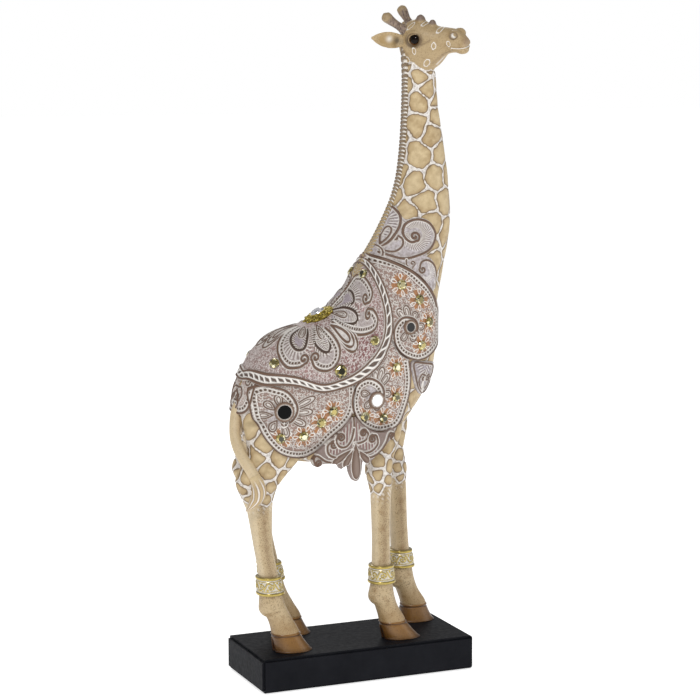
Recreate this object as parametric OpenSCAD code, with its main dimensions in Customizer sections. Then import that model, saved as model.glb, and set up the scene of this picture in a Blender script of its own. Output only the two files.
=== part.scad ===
// Standing giraffe figure in a jewelled saddle cloth, on a rectangular plinth.
// The giraffe looks along +X, its left side is +Y, and the plinth rests on Z = 0.

/* [Plinth] */
// Length of the plinth along X
plinth_length = 175; // [160:1:190]
// Width of the plinth along Y
plinth_width = 78; // [76:1:90]
// Height of the plinth without its pads
plinth_height = 26; // [20:0.5:32]
// Radius on every edge of the plinth
plinth_edge = 2; // [1:0.5:4]
// Height of the pads under the plinth
pad_height = 1; // [1:0.5:3]
// Radius of one pad
pad_radius = 5; // [3:0.5:7]

/* [Head] */
// How far the head turns to its right, in degrees
head_turn = 50; // [0:1:60]
// How far the head leans to its right, in degrees
head_roll = 12; // [0:1:15]
// Radius of an eye
eye_radius = 4.3; // [3.8:0.1:4.8]

/* [Legs] */
// Wall of an anklet at its rims
anklet_wall = 2.6; // [2:0.1:3]
// Width of the cleft in a hoof
cleft_width = 1.2; // [0.6:0.1:2]
// Diameter of the steel rod in each leg
leg_rod = 3; // [2:0.5:4]
// Diameter of the pin under each hoof
hoof_pin = 3; // [2:0.5:4]

/* [Cloth and ornaments] */
// Thickness of the saddle cloth and its hanging panels
cloth = 1.4; // [0.8:0.1:2]
// Width of the braided border, in degrees around the body
border_span = 7; // [5:1:10]
// Height of the mane above the neck
mane_height = 4.6; // [2:0.1:6]
// Half width of the mane behind the ears
mane_crest = 2.4; // [1.6:0.1:3]
// Half width of the mane at its base
mane_base = 6.4; // [3:0.1:7]
// Thickness of a hanging belly tassel
tassel_thickness = 2.4; // [1.5:0.1:3]
// Radius of one set stone
gem_radius = 3.6; // [2.5:0.1:4]
// Radius of the brooch on the back
brooch_radius = 12; // [9:0.5:14]

/* [Hidden] */

right = -1;
left = 1;
ground = pad_height + plinth_height;  // level on which the hooves stand
plinth_x = 8;                         // the plinth sits forward of the figure's middle
body_y = 3;                           // the body's middle plane
around = 24;                          // facets around the body and limbs

resin_tan = "#cdb083";
resin_pale = "#e6ddd3";
relief_brown = "#8a7061";
gold = "#c9a648";
hoof_brown = "#8a5526";
charcoal = "#2c2d31";
stone_gold = "#cdbb7c";
steel = "#9aa0a6";

// Body stations from rump to poll: top x, top z, underside x, underside z, half width
body_keys = [
    [-84.5, 217, -84, 202, 9], [-79.5, 231, -80, 191, 17], [-71.5, 246, -70, 178, 25],
    [-63, 257, -59, 171, 31], [-48, 267, -46, 171, 33], [-28, 272.5, -28, 168, 34],
    [-8, 282, -6, 166, 34], [8, 298, 18, 171, 33], [15, 310, 38.5, 182, 31],
    [22, 321, 58, 202, 28.5], [29, 332, 72, 224, 26.5], [35, 343, 78, 250, 24.5],
    [40, 353, 79, 278, 22.5], [45, 364, 84.5, 308, 20], [50, 379, 91.5, 345, 17],
    [53, 396, 90, 378, 14.5], [55, 418, 86, 408, 12.2], [56, 444, 81, 437, 11],
    [56, 472, 79, 462, 11]
];
neck_start = 11;  // station of the joint between torso and neck
poll = 18;        // last station

// Leg stations downwards: z, x, distance from the middle plane, half length, half width
foreleg_keys = [
    [205, 30, 14, 15, 11], [188, 28.5, 15, 14.5, 11.5], [178, 26.5, 16, 12.5, 11],
    [168, 24.8, 17, 10.5, 10], [159, 24.4, 17, 10.2, 10], [151, 25.4, 17, 9.2, 9.2],
    [142, 26, 17, 7.6, 7.8], [112, 26.3, 17, 6.6, 6.9], [88, 26.5, 17, 6.8, 7.1],
    [73, 27, 17, 7.9, 7.8], [63, 27, 17, 9.2, 8.8], [53, 31, 17, 8.4, 8.3],
    [41, 36, 17, 10, 9]
];
hindleg_keys = [
    [203, -61, 14, 23, 13], [189, -59.5, 14.5, 23, 13], [181, -59.5, 15, 22.5, 12.5],
    [174, -63.5, 16, 22.5, 11.5], [165, -70.5, 17, 20.5, 10], [158, -74.5, 17, 17.5, 9.5],
    [149, -75, 17, 13, 9], [137, -73.3, 17, 9.2, 8.3], [110, -70.8, 17, 6.9, 6.9],
    [88, -67, 17, 6.9, 7.1], [73, -65, 17, 8, 7.8], [63, -63.5, 17, 9.5, 8.8],
    [52, -57.5, 17, 9, 8.5], [41, -53, 17, 10.5, 9]
];
// Each left leg stands ahead of the right one: [shift at the foot, at the knee, at the hip, outward shift]
foreleg_stride = [37, 31, 19, 7];
hindleg_stride = [18.5, 14.5, 5, 9];
knee_z = 154;
hip_z = 203;

coronet_z = 41;    // level of the top of every hoof
anklet_foot = 72;  // levels of the lower and upper ends of every anklet
anklet_top = 86.5;
// Anklet outline upwards: z, share of the wall
anklet_profile = [
    [72, 0.6], [73, 1], [75, 1], [76, 0.7], [82.5, 0.7], [83.5, 1], [85.5, 1], [86.5, 0.6]
];

// Hoof prints on the plinth: x, y, half length, half width
hoof_prints = [
    [43, -17.5, 15.5, 10.8], [75.5, 24, 15, 10.8],
    [-49, -18, 16.5, 11.5], [-31, 26, 15, 11.5]
];

// Head stations from poll to lips: top along, top z, underside along, underside z, half width
head_keys = [
    [-13, 488, -14, 477, 6], [-11, 496, -8, 466.5, 10], [-5, 501, -2, 464, 12.5],
    [3, 504, 6, 463.5, 13.5], [11, 501, 13, 465.5, 13], [18, 497, 18.5, 470, 11],
    [25, 495.3, 24, 475.5, 9], [31.5, 494.5, 30.5, 477, 8.2], [37, 491.5, 37, 477, 8],
    [41, 486.5, 41, 480, 6]
];
head_pivot = [66, body_y, 480];

// Tail and tuft stations: x, y, z, radius
tail_keys = [
    [-85.5, 0, 208, 4], [-88.5, -7, 192, 4.2], [-87.5, -17, 180, 4.2],
    [-84, -25, 171, 4.2], [-80.5, -29.5, 163, 4.4]
];
tuft_keys = [
    [-80.5, -29.5, 163, 4.4], [-79, -31.5, 157, 5.2], [-80, -31.5, 150, 5.2],
    [-84, -30.5, 145, 3.4], [-88, -30, 141, 0.8]
];

// Edges of the cloth panels: [station, angle from the spine] along the upper and lower edge
flap_edges = [[[0.1, 6], [1.6, 4]], [[0.1, 75], [0.9, 88], [1.6, 84]]];
haunch_edges = [
    [[1.75, 36], [2.4, 54], [3.3, 74], [4.9, 90], [6.1, 90]],
    [[1.75, 92], [2.1, 117], [3, 130], [4, 134], [4.8, 127], [5.5, 116], [6.1, 104]]
];
flank_edges = [
    [[6.2, 90], [7.1, 90], [7.9, 86], [8.4, 80], [8.9, 99]],
    [[6.2, 106], [6.5, 118], [7.3, 131], [8.2, 137], [8.6, 126], [8.9, 104]]
];
chest_edges = [
    [[9.2, 12], [10, 44], [11.1, 76], [11.8, 109], [12, 146]],
    [[9.2, 104], [9.5, 110], [10.3, 128], [11.2, 148], [12, 154]]
];
neck_edges = [
    [[9.6, 10], [12.6, 13], [12.9, 40], [13.2, 88]],
    [[9.6, 20], [10.1, 40], [11.2, 70], [11.8, 98], [12.5, 116], [13.2, 104]]
];
chest_tassel_edges = [
    [[9.35, 112], [10.2, 130], [10.45, 138]],
    [[9.35, 134], [9.8, 156], [10.45, 158]]
];
// From the middle plane to the inner face of a belly tassel
tassel_reach = 34.2;
// Hanging belly tassel seen from the side: x, z
belly_tassel_outline = [
    [-3, 206], [-14, 196], [-24, 187], [-33, 181], [-34, 172], [-26, 169], [-16, 172],
    [-9, 170], [-3, 160], [3, 155], [9, 158], [12, 168], [17, 166], [21, 172],
    [28, 182], [34, 192], [24, 190], [12, 192], [4, 198]
];

// Seats on the body: [station, angle from the spine]
gem_seats = [
    [8.15, 16], [10, 66], [10.7, 90], [10.75, 111], [9.85, 108], [7.3, 74], [5.7, 77], [3.05, 45],
    [8.35, 96], [8.1, 112], [7.4, 118], [6.6, 107], [5.4, 96], [4.95, 103], [4.25, 115], [3, 112]
];
mirror_seats = [[3.25, 91], [7.1, 101], [9.55, 90]];
mirror_radii = [5.4, 4.6, 3.6];
brooch_station = 5.6;

// ---- Shape functions ----

// Catmull-Rom value of a table at a fractional row
function spline(keys, t) =
    let (last = len(keys) - 1)
    let (s = min(max(t, 0), last - 0.000001))
    let (i = floor(s), f = s - i)
    let (a = keys[max(i - 1, 0)], b = keys[i], c = keys[i + 1], d = keys[min(i + 2, last)])
    (2 * b + (c - a) * f + (2 * a - 5 * b + 4 * c - d) * f * f + (3 * b - a - 3 * c + d) * f * f * f) / 2;

function signed_power(v, e) = sign(v) * pow(abs(v), e);

// Closed ring around centre c with half axes u and v; e under 1 makes it squarer
function ring(c, u, v, e = 1) = [
    for (i = [0:around - 1])
        let (a = 360 * i / around)
        c + u * signed_power(cos(a), e) + v * signed_power(sin(a), e)
];

// The torso's sections are squarer than the neck's
function squareness(t) = 2 / (2.7 - 0.7 * min(max((t - 7) / 5, 0), 1));

// Point on the body, at a station and an angle from the spine (left is positive)
function skin(t, phi, proud = 0) =
    let (k = spline(body_keys, t), e = squareness(t))
    let (top = [k[0], body_y, k[1]], under = [k[2], body_y, k[3]])
    let (half = (top - under) / 2, reach = 1 + proud / norm(half))
    (top + under) / 2 + half * reach * signed_power(cos(phi), e)
        + [0, (k[4] + proud) * signed_power(sin(phi), e), 0];

function body_ring(t) = [for (i = [0:around - 1]) skin(t, 360 * i / around)];

// Outward direction at a seat
function outward(t, phi) =
    let (along = skin(t + 0.05, phi) - skin(t - 0.05, phi))
    let (across = skin(t, phi + 1) - skin(t, phi - 1))
    let (n = cross(along, across))
    n / norm(n);

function unit(v) = v / norm(v);

// Column c of a leg's stations, at a height
function leg_value(keys, c, z) = lookup(z, [for (k = keys) [k[0], k[c]]]);

// Centre of a leg at a height, with the left legs' stride added
function leg_centre(keys, stride, side, z) =
    let (levels = [[coronet_z, stride[0]], [knee_z, stride[1]], [hip_z, stride[2]]])
    let (forward = side == left ? lookup(z, levels) : 0)
    let (y = leg_value(keys, 2, z))
    [leg_value(keys, 1, z) + forward, side == left ? y + stride[3] : -y, z];

function leg_ring(keys, stride, side, z, grow = 0) =
    ring(leg_centre(keys, stride, side, z),
        [leg_value(keys, 3, z) + grow, 0, 0], [0, leg_value(keys, 4, z) + grow, 0]);

// ---- Shape modules ----

// Solid through a list of closed rings, flat at both ends
module loft(rings) {
    n = len(rings[0]);
    m = len(rings);
    points = [for (r = rings) for (p = r) p];
    sides = [
        for (i = [0:m - 2]) for (j = [0:n - 1])
            let (a = i * n + j, b = i * n + (j + 1) % n)
            each [[a, b, a + n], [b, b + n, a + n]]
    ];
    caps = [[for (j = [n - 1:-1:0]) j], [for (j = [0:n - 1]) (m - 1) * n + j]];
    polyhedron(points = points, faces = concat(sides, caps), convexity = 6);
}

// Solid through a closed loop of rings, open through its middle
module sleeve(rings) {
    n = len(rings[0]);
    m = len(rings);
    faces = [
        for (i = [0:m - 1]) for (j = [0:n - 1])
            let (next = (j + 1) % n, k = (i + 1) % m)
            each [[i * n + j, i * n + next, k * n + j], [i * n + next, k * n + next, k * n + j]]
    ];
    polyhedron(points = [for (r = rings) for (p = r) p], faces = faces, convexity = 6);
}

// Tube through [x, y, z, radius] keys
module sweep(keys, steps) {
    last = len(keys) - 1;
    rings = [
        for (s = [0:steps])
            let (t = last * s / steps, k = spline(keys, t))
            let (ahead = spline(keys, min(t + 0.1, last)), behind = spline(keys, max(t - 0.1, 0)))
            let (d = ahead - behind, tangent = unit([d[0], d[1], d[2]]))
            let (u = unit(cross([1, 0, 0], tangent)), v = cross(tangent, u))
            ring([k[0], k[1], k[2]], u * k[3], v * k[3])
    ];
    loft(rings);
}

// Curved plate lying on the body between two edges given in [station, angle]
module patch(t0, t1, steps, across, low, high, side, base, thickness) {
    w = across + 1;
    rows = [
        for (i = [0:steps])
            let (t = t0 + (t1 - t0) * i / steps)
            [for (j = [0:across]) [t, side * (low(t) + (high(t) - low(t)) * j / across)]]
    ];
    outer = [for (r = rows) for (p = r) skin(p[0], p[1], base + thickness)];
    inner = [for (r = rows) for (p = r) skin(p[0], p[1], base)];
    n = len(outer);
    top = [
        for (i = [0:steps - 1]) for (j = [0:across - 1])
            let (a = i * w + j)
            each [[a, a + 1, a + w], [a + 1, a + w + 1, a + w]]
    ];
    bottom = [for (f = top) [f[2] + n, f[1] + n, f[0] + n]];
    rim = concat(
        [for (j = [0:across]) j],
        [for (i = [1:steps]) i * w + across],
        [for (j = [across - 1:-1:0]) steps * w + j],
        [for (i = [steps - 1:-1:1]) i * w]
    );
    wall = [
        for (i = [0:len(rim) - 1])
            let (a = rim[i], b = rim[(i + 1) % len(rim)])
            each [[b, a, b + n], [a, a + n, b + n]]
    ];
    faces = concat(top, bottom, wall);
    flipped = [for (f = faces) [f[2], f[1], f[0]]];
    polyhedron(points = concat(outer, inner), faces = side == left ? flipped : faces, convexity = 6);
}

// Patch whose edges come from a pair of [station, angle] tables
module panel(edges, steps, across, side, base = 0, thickness = cloth) {
    first = edges[0][0][0];
    final = edges[0][len(edges[0]) - 1][0];
    patch(first, final, steps, across,
        function (t) lookup(t, edges[0]), function (t) lookup(t, edges[1]),
        side, base, thickness);
}

// Places a child on the body, its +Z outwards
module seated(t, phi, proud) {
    n = outward(t, phi);
    translate(skin(t, phi, proud))
        rotate([0, acos(n[2]), atan2(n[1], n[0])])
            children();
}

module rod(p, q, d) {
    v = q - p;
    translate(p)
        rotate([0, acos(v[2] / norm(v)), atan2(v[1], v[0])])
            cylinder(h = norm(v), d = d, $fn = 32);
}

module on_head() {
    translate(head_pivot)
        rotate([0, 0, -head_turn])
            rotate([head_roll, 0, 0])
                translate([0, 0, -head_pivot[2]])
                    children();
}

module rounded_block(size, r) {
    in = size - [2 * r, 2 * r, 2 * r];
    cube([size[0], in[1], in[2]], center = true);
    cube([in[0], size[1], in[2]], center = true);
    cube([in[0], in[1], size[2]], center = true);
    for (a = [-1, 1]) {
        for (b = [-1, 1]) {
            translate([a * in[0] / 2, b * in[1] / 2, 0])
                cylinder(h = in[2], r = r, center = true, $fn = 32);
            translate([a * in[0] / 2, 0, b * in[2] / 2])
                rotate([90, 0, 0])
                    cylinder(h = in[1], r = r, center = true, $fn = 32);
            translate([0, a * in[1] / 2, b * in[2] / 2])
                rotate([0, 90, 0])
                    cylinder(h = in[0], r = r, center = true, $fn = 32);
            for (c = [-1, 1])
                translate([a * in[0], b * in[1], c * in[2]] / 2)
                    sphere(r = r, $fn = 32);
        }
    }
}

// ---- Plinth ----

module pin_solids() {
    for (h = hoof_prints)
        translate([h[0] - 3, h[1], ground - 12])
            cylinder(h = 20, d = hoof_pin, $fn = 32);
}

module plinth() {
    color(charcoal)
        difference() {
            translate([plinth_x, 0, pad_height + plinth_height / 2])
                rounded_block([plinth_length, plinth_width, plinth_height], plinth_edge);
            pin_solids();
        }
}

module foot_pads() {
    color("#1c1c1e")
        for (a = [-1, 1], b = [-1, 1])
            translate([plinth_x + a * (plinth_length / 2 - 11), b * (plinth_width / 2 - 11), 0])
                cylinder(h = pad_height, r = pad_radius, $fn = 48);
}

module hoof_pins() {
    color(steel) pin_solids();
}

// ---- Body ----

module torso_solid() {
    loft([for (t = [0:0.5:neck_start]) body_ring(t)]);
}

module neck_solid() {
    loft([for (t = [neck_start:0.5:poll]) body_ring(t)]);
}

module neck_rod_solid() {
    rod([52, body_y, 262], [68, body_y, 446], 4);
}

module torso() {
    color(resin_tan)
        difference() {
            torso_solid();
            neck_rod_solid();
        }
}

module neck() {
    color(resin_tan)
        difference() {
            neck_solid();
            neck_rod_solid();
        }
}

module neck_rod() {
    color(steel) neck_rod_solid();
}

// Angle from the spine to the mane's edge: a slim crest at the poll, broader at its base
function mane_angle(t) =
    let (half = mane_crest + (mane_base - mane_crest) * min(max((13 - t) / 5, 0), 1))
    asin(pow(half / spline(body_keys, t)[4], 1 / squareness(t)));

module mane() {
    color("#d8c194")
        patch(8, poll - 0.25, 20, 2,
            function (t) -mane_angle(t), function (t) mane_angle(t),
            right, 0, mane_height);
}

// ---- Head ----

module head_solid() {
    loft([
        for (k = head_keys)
            ring([(k[0] + k[2]) / 2, 0, (k[1] + k[3]) / 2],
                [(k[0] - k[2]) / 2, 0, (k[1] - k[3]) / 2], [0, k[4], 0])
    ]);
}

module eye_solid(side) {
    translate([2, side * 9.4, 489])
        sphere(r = eye_radius, $fn = 32);
}

module head() {
    color(resin_tan)
        difference() {
            on_head()
                difference() {
                    head_solid();
                    eye_solid(right);
                    eye_solid(left);
                }
            neck_solid();
        }
}

module ossicone(side) {
    keys = [
        [-7, side * 5.5, 492, 4.4], [-11, side * 8.5, 497.5, 3.2], [-14.5, side * 11.5, 502, 3.1],
        [-17, side * 13.5, 505.5, 4], [-19, side * 14.8, 508, 2]
    ];
    color("#8d7c6c")
        on_head()
            difference() {
                sweep(keys, 8);
                head_solid();
            }
}

module ear(side) {
    root = [-6, side * 9.5, 487];
    tip = [-25, side * 28, 494];
    spread = [[0, 2.2], [0.2, 4.6], [0.45, 6.3], [0.7, 5.6], [0.9, 3], [1, 0.6]];
    along = unit(tip - root);
    upright = unit([0, 0, 1] - along * along[2]);
    through = cross(along, upright);
    color(resin_tan)
        on_head()
            difference() {
                loft([
                    for (s = spread)
                        ring(root + (tip - root) * s[0], upright * s[1], side * through * (0.6 + s[1] * 0.3))
                ]);
                head_solid();
            }
}

module eye(side) {
    color("#3a2413") on_head() eye_solid(side);
}

// ---- Legs ----

module leg_rod_solid(keys, stride, side) {
    rod(leg_centre(keys, stride, side, 60), leg_centre(keys, stride, side, knee_z), leg_rod);
}

module leg(keys, stride, side) {
    color(resin_tan)
        difference() {
            loft([for (i = [len(keys) - 1:-1:0]) leg_ring(keys, stride, side, keys[i][0])]);
            torso_solid();
            leg_rod_solid(keys, stride, side);
        }
}

module leg_rods() {
    color(steel)
        for (side = [right, left]) {
            leg_rod_solid(foreleg_keys, foreleg_stride, side);
            leg_rod_solid(hindleg_keys, hindleg_stride, side);
        }
}

// Hoof from a leg's end ring down to its print, split by a cleft at the toe
module hoof(keys, stride, side, print) {
    top = leg_ring(keys, stride, side, coronet_z);
    centre = [print[0], print[1], ground];
    base = ring(centre, [print[2], 0, 0], [0, print[3], 0]);
    waist = (base + top) * 0.5 - [for (p = base) [1.2, 0, 0]];
    color(hoof_brown)
        difference() {
            loft([base, waist, top]);
            translate([print[0] + 4, print[1] - cleft_width / 2, ground - 1])
                cube([20, cleft_width, 20]);
            pin_solids();
        }
}

// Ring around a leg, with a raised rim at each end
module anklet(keys, stride, side) {
    outside = [
        for (p = anklet_profile)
            leg_ring(keys, stride, side, p[0], anklet_wall * p[1])
    ];
    bore = [
        leg_ring(keys, stride, side, anklet_top),
        leg_ring(keys, stride, side, anklet_foot)
    ];
    color(gold) sleeve(concat(outside, bore));
}

// ---- Tail ----

module tail() {
    color(resin_tan)
        difference() {
            sweep(tail_keys, 12);
            torso_solid();
        }
}

module tail_tuft() {
    color("#c2a070") sweep(tuft_keys, 8);
}

// ---- Cloth ----

// Half width of the saddle in degrees: a rounder rear end and a squarer front end
function saddle_half(t) =
    let (r = (t - 5.25) / 3.4)
    82 * (r < 0 ? pow(max(1 - r * r, 0), 0.6) : pow(max(1 - pow(r, 8), 0), 0.35));

module saddle_cloth() {
    color("#c9a5a4")
        patch(1.88, 8.62, 24, 16,
            function (t) -saddle_half(t), function (t) saddle_half(t),
            right, 0, cloth);
}

module saddle_border() {
    color(resin_pale)
        for (side = [right, left])
            patch(1.92, 8.58, 28, 1,
                function (t) saddle_half(t) + 0.2,
                function (t) saddle_half(t) + border_span * min(1, (t - 1.6) / 0.8, (8.9 - t) / 0.5),
                side, 0, cloth + 0.5);
}

module rump_flap(side) {
    color(resin_pale) panel(flap_edges, 6, 8, side);
}

module haunch_panel(side) {
    color(resin_pale) panel(haunch_edges, 14, 6, side);
}

module flank_panel(side) {
    color(resin_pale) panel(flank_edges, 10, 5, side);
}

module chest_panel(side) {
    color(resin_pale) panel(chest_edges, 12, 8, side);
}

module neck_scroll(side) {
    color(resin_pale) panel(neck_edges, 14, 6, side);
}

module chest_tassel(side) {
    color(relief_brown) panel(chest_tassel_edges, 6, 4, side, 0, cloth);
}

module belly_tassel(side) {
    inside = side == right ? body_y - tassel_reach : body_y + tassel_reach + tassel_thickness;
    color(relief_brown)
        translate([0, inside, 0])
            rotate([90, 0, 0])
                linear_extrude(tassel_thickness)
                    polygon(belly_tassel_outline);
}

// ---- Stones and mirrors ----

module brooch_setting() {
    color(gold)
        seated(brooch_station, 0, cloth - 1.4)
            difference() {
                cylinder(h = 4.4, r1 = brooch_radius, r2 = brooch_radius - 2, $fn = 64);
                translate([0, 0, 2.4])
                    cylinder(h = 3, r = brooch_radius / 2, $fn = 64);
            }
}

module brooch_crystal() {
    color("#dfe6ea")
        seated(brooch_station, 0, cloth + 1)
            cylinder(h = 3.4, r1 = brooch_radius / 2, r2 = brooch_radius / 4, $fn = 48);
}

module mirror_bezels(side) {
    color(relief_brown)
        for (i = [0:len(mirror_seats) - 1])
            seated(mirror_seats[i][0], side * mirror_seats[i][1], cloth - 0.8)
                difference() {
                    cylinder(h = 2.6, r = mirror_radii[i] + 1.6, $fn = 48);
                    translate([0, 0, 1.2])
                        cylinder(h = 3, r = mirror_radii[i], $fn = 48);
                }
}

module mirrors(side) {
    color("#dfe4e8")
        for (i = [0:len(mirror_seats) - 1])
            seated(mirror_seats[i][0], side * mirror_seats[i][1], cloth + 0.4)
                cylinder(h = 0.8, r = mirror_radii[i], $fn = 48);
}

module gems(side) {
    color(stone_gold)
        for (g = gem_seats)
            seated(g[0], side * g[1], cloth - 0.3)
                union() {
                    cylinder(h = 0.8, r = gem_radius, $fn = 24);
                    translate([0, 0, 0.8])
                        cylinder(h = 1.4, r1 = gem_radius, r2 = gem_radius * 0.55, $fn = 24);
                }
}

// ---- Named nodes ----

module foreleg(side) leg(foreleg_keys, foreleg_stride, side);

module hindleg(side) leg(hindleg_keys, hindleg_stride, side);

module hoof_fore(side) hoof(foreleg_keys, foreleg_stride, side, hoof_prints[side == right ? 0 : 1]);

module hoof_hind(side) hoof(hindleg_keys, hindleg_stride, side, hoof_prints[side == right ? 2 : 3]);

module anklet_fore(side) anklet(foreleg_keys, foreleg_stride, side);

module anklet_hind(side) anklet(hindleg_keys, hindleg_stride, side);

plinth();
foot_pads();
hoof_pins();
leg_rods();
neck_rod();
torso();
neck();
head();
mane();
tail();
tail_tuft();
ossicone(right);  // ossicone_right
ossicone(left);  // ossicone_left
ear(right);  // ear_right
ear(left);  // ear_left
eye(right);  // eye_right
eye(left);  // eye_left
foreleg(right);  // foreleg_right
foreleg(left);  // foreleg_left
hindleg(right);  // hindleg_right
hindleg(left);  // hindleg_left
hoof_fore(right);  // hoof_fore_right
hoof_fore(left);  // hoof_fore_left
hoof_hind(right);  // hoof_hind_right
hoof_hind(left);  // hoof_hind_left
anklet_fore(right);  // anklet_fore_right
anklet_fore(left);  // anklet_fore_left
anklet_hind(right);  // anklet_hind_right
anklet_hind(left);  // anklet_hind_left
saddle_cloth();
saddle_border();
brooch_setting();
brooch_crystal();
rump_flap(right);  // rump_flap_right
rump_flap(left);  // rump_flap_left
haunch_panel(right);  // haunch_panel_right
haunch_panel(left);  // haunch_panel_left
flank_panel(right);  // flank_panel_right
flank_panel(left);  // flank_panel_left
chest_panel(right);  // chest_panel_right
chest_panel(left);  // chest_panel_left
neck_scroll(right);  // neck_scroll_right
neck_scroll(left);  // neck_scroll_left
belly_tassel(right);  // belly_tassel_right
belly_tassel(left);  // belly_tassel_left
chest_tassel(right);  // chest_tassel_right
chest_tassel(left);  // chest_tassel_left
mirror_bezels(right);  // mirror_bezels_right
mirror_bezels(left);  // mirror_bezels_left
mirrors(right);  // mirrors_right
mirrors(left);  // mirrors_left
gems(right);  // gems_right
gems(left);  // gems_left
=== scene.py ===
"""Looks of a painted cast resin giraffe on its plinth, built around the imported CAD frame.

Lengths are in millimetres in the row's frame until a mesh is made, which scales them to metres.
"""

import math

import bpy
import bmesh
import numpy as np
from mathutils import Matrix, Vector
from mathutils.bvhtree import BVHTree


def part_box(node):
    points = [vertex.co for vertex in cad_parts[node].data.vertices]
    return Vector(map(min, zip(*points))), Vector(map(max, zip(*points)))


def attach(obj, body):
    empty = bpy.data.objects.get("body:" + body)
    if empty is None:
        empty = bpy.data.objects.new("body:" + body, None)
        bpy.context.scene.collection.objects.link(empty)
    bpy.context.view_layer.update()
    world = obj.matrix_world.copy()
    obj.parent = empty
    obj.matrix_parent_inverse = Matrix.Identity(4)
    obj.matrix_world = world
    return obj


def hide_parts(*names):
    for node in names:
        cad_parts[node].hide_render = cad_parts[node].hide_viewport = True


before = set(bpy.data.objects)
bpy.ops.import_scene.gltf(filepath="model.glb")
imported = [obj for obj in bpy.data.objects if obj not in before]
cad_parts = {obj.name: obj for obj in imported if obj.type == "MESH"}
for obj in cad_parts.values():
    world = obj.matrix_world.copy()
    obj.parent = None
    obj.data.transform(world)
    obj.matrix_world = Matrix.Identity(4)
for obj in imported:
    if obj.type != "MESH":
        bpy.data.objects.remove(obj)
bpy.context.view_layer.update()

MM = 0.001
RIGHT, LEFT = -1, 1
SIDES = ((RIGHT, "right"), (LEFT, "left"))
rng = np.random.default_rng(7)

# ---------------------------------------------------------------- driving values

BODY_Y = 3.0
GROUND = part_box("plinth")[1].z / MM
HEAD_TURN, HEAD_ROLL = 50.0, 12.0
HEAD_PIVOT = np.array([66.0, BODY_Y, 480.0])
EYE = np.array([2.0, 9.4, 489.0])
EYE_RADIUS = 4.3
NOSTRIL = (33.0, 491.0)
HEAD_FOOT = 458.0
CREST_BUMP, BROW_BUMP = (3.6, 0, 503.5), (13.3, 0, 500.5)
CLOTH = 1.4
BODY_VOXEL = 0.7
PANEL_STEP = 0.34
CANVAS_STEP = 0.16
OUTLINE_REACH = 6.0

# Body stations from rump to poll: top x, top z, underside x, underside z, half width
BODY_KEYS = np.array([
    [-84.5, 217, -84, 202, 9], [-79.5, 231, -80, 191, 17], [-71.5, 246, -70, 178, 25],
    [-63, 257, -59, 171, 31], [-48, 267, -46, 171, 33], [-28, 272.5, -28, 168, 34],
    [-8, 282, -6, 166, 34], [8, 298, 18, 171, 33], [15, 310, 38.5, 182, 31],
    [22, 321, 58, 202, 28.5], [29, 332, 72, 224, 26.5], [35, 343, 78, 250, 24.5],
    [40, 353, 79, 278, 22.5], [45, 364, 84.5, 308, 20], [50, 379, 91.5, 345, 17],
    [53, 396, 90, 378, 14.5], [55, 418, 86, 408, 12.2], [56, 444, 81, 437, 11],
    [56, 472, 79, 462, 11],
], float)

# Leg stations downwards: z, x, distance from the middle plane, half length, half width
FORELEG_KEYS = np.array([
    [205, 30, 14, 15, 11], [188, 28.5, 15, 14.5, 11.5], [178, 26.5, 16, 12.5, 11],
    [168, 24.8, 17, 10.5, 10], [159, 24.4, 17, 10.2, 10], [151, 25.4, 17, 9.2, 9.2],
    [142, 26, 17, 7.6, 7.8], [112, 26.3, 17, 6.6, 6.9], [88, 26.5, 17, 6.8, 7.1],
    [73, 27, 17, 7.9, 7.8], [63, 27, 17, 9.2, 8.8], [53, 31, 17, 8.4, 8.3],
    [41, 36, 17, 10, 9],
], float)
HINDLEG_KEYS = np.array([
    [203, -61, 14, 23, 13], [189, -59.5, 14.5, 23, 13], [181, -59.5, 15, 22.5, 12.5],
    [174, -63.5, 16, 22.5, 11.5], [165, -70.5, 17, 20.5, 10], [158, -74.5, 17, 17.5, 9.5],
    [149, -75, 17, 13, 9], [137, -73.3, 17, 9.2, 8.3], [110, -70.8, 17, 6.9, 6.9],
    [88, -67, 17, 6.9, 7.1], [73, -65, 17, 8, 7.8], [63, -63.5, 17, 9.5, 8.8],
    [52, -57.5, 17, 9, 8.5], [41, -53, 17, 10.5, 9],
], float)
# Each left leg stands ahead of the right one: shift at the foot, at the knee, at the hip, outward shift
FORELEG_STRIDE = (37.0, 31.0, 19.0, 7.0)
HINDLEG_STRIDE = (18.5, 14.5, 5.0, 9.0)
KNEE_Z, HIP_Z = 154.0, 203.0
FORE_AFT = -10.0
CORONET_Z = 41.0
LEGS = {
    "foreleg_right": (FORELEG_KEYS, FORELEG_STRIDE, RIGHT),
    "foreleg_left": (FORELEG_KEYS, FORELEG_STRIDE, LEFT),
    "hindleg_right": (HINDLEG_KEYS, HINDLEG_STRIDE, RIGHT),
    "hindleg_left": (HINDLEG_KEYS, HINDLEG_STRIDE, LEFT),
}

# Head stations from poll to lips: top along, top z, underside along, underside z, half width
HEAD_KEYS = np.array([
    [-13, 488, -14, 477, 6], [-11, 496, -8, 466.5, 10], [-5, 501, -2, 464, 12.5],
    [3, 501.5, 6, 463.5, 13.2], [11, 498.5, 13, 465.5, 12.4], [18, 496.5, 18.5, 470, 10],
    [25, 495.6, 24, 475.8, 8], [31, 494.6, 30.5, 477.3, 7.4], [36.5, 491.5, 37, 477.3, 7.2],
    [41, 486.5, 41, 480, 5.2],
], float)


def linear(code):
    """Scene colour of an sRGB hex code."""
    parts = np.array([int(code[i:i + 2], 16) for i in (0, 2, 4)]) / 255
    return np.where(parts <= 0.04045, parts / 12.92, ((parts + 0.055) / 1.055) ** 2.4)


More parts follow.
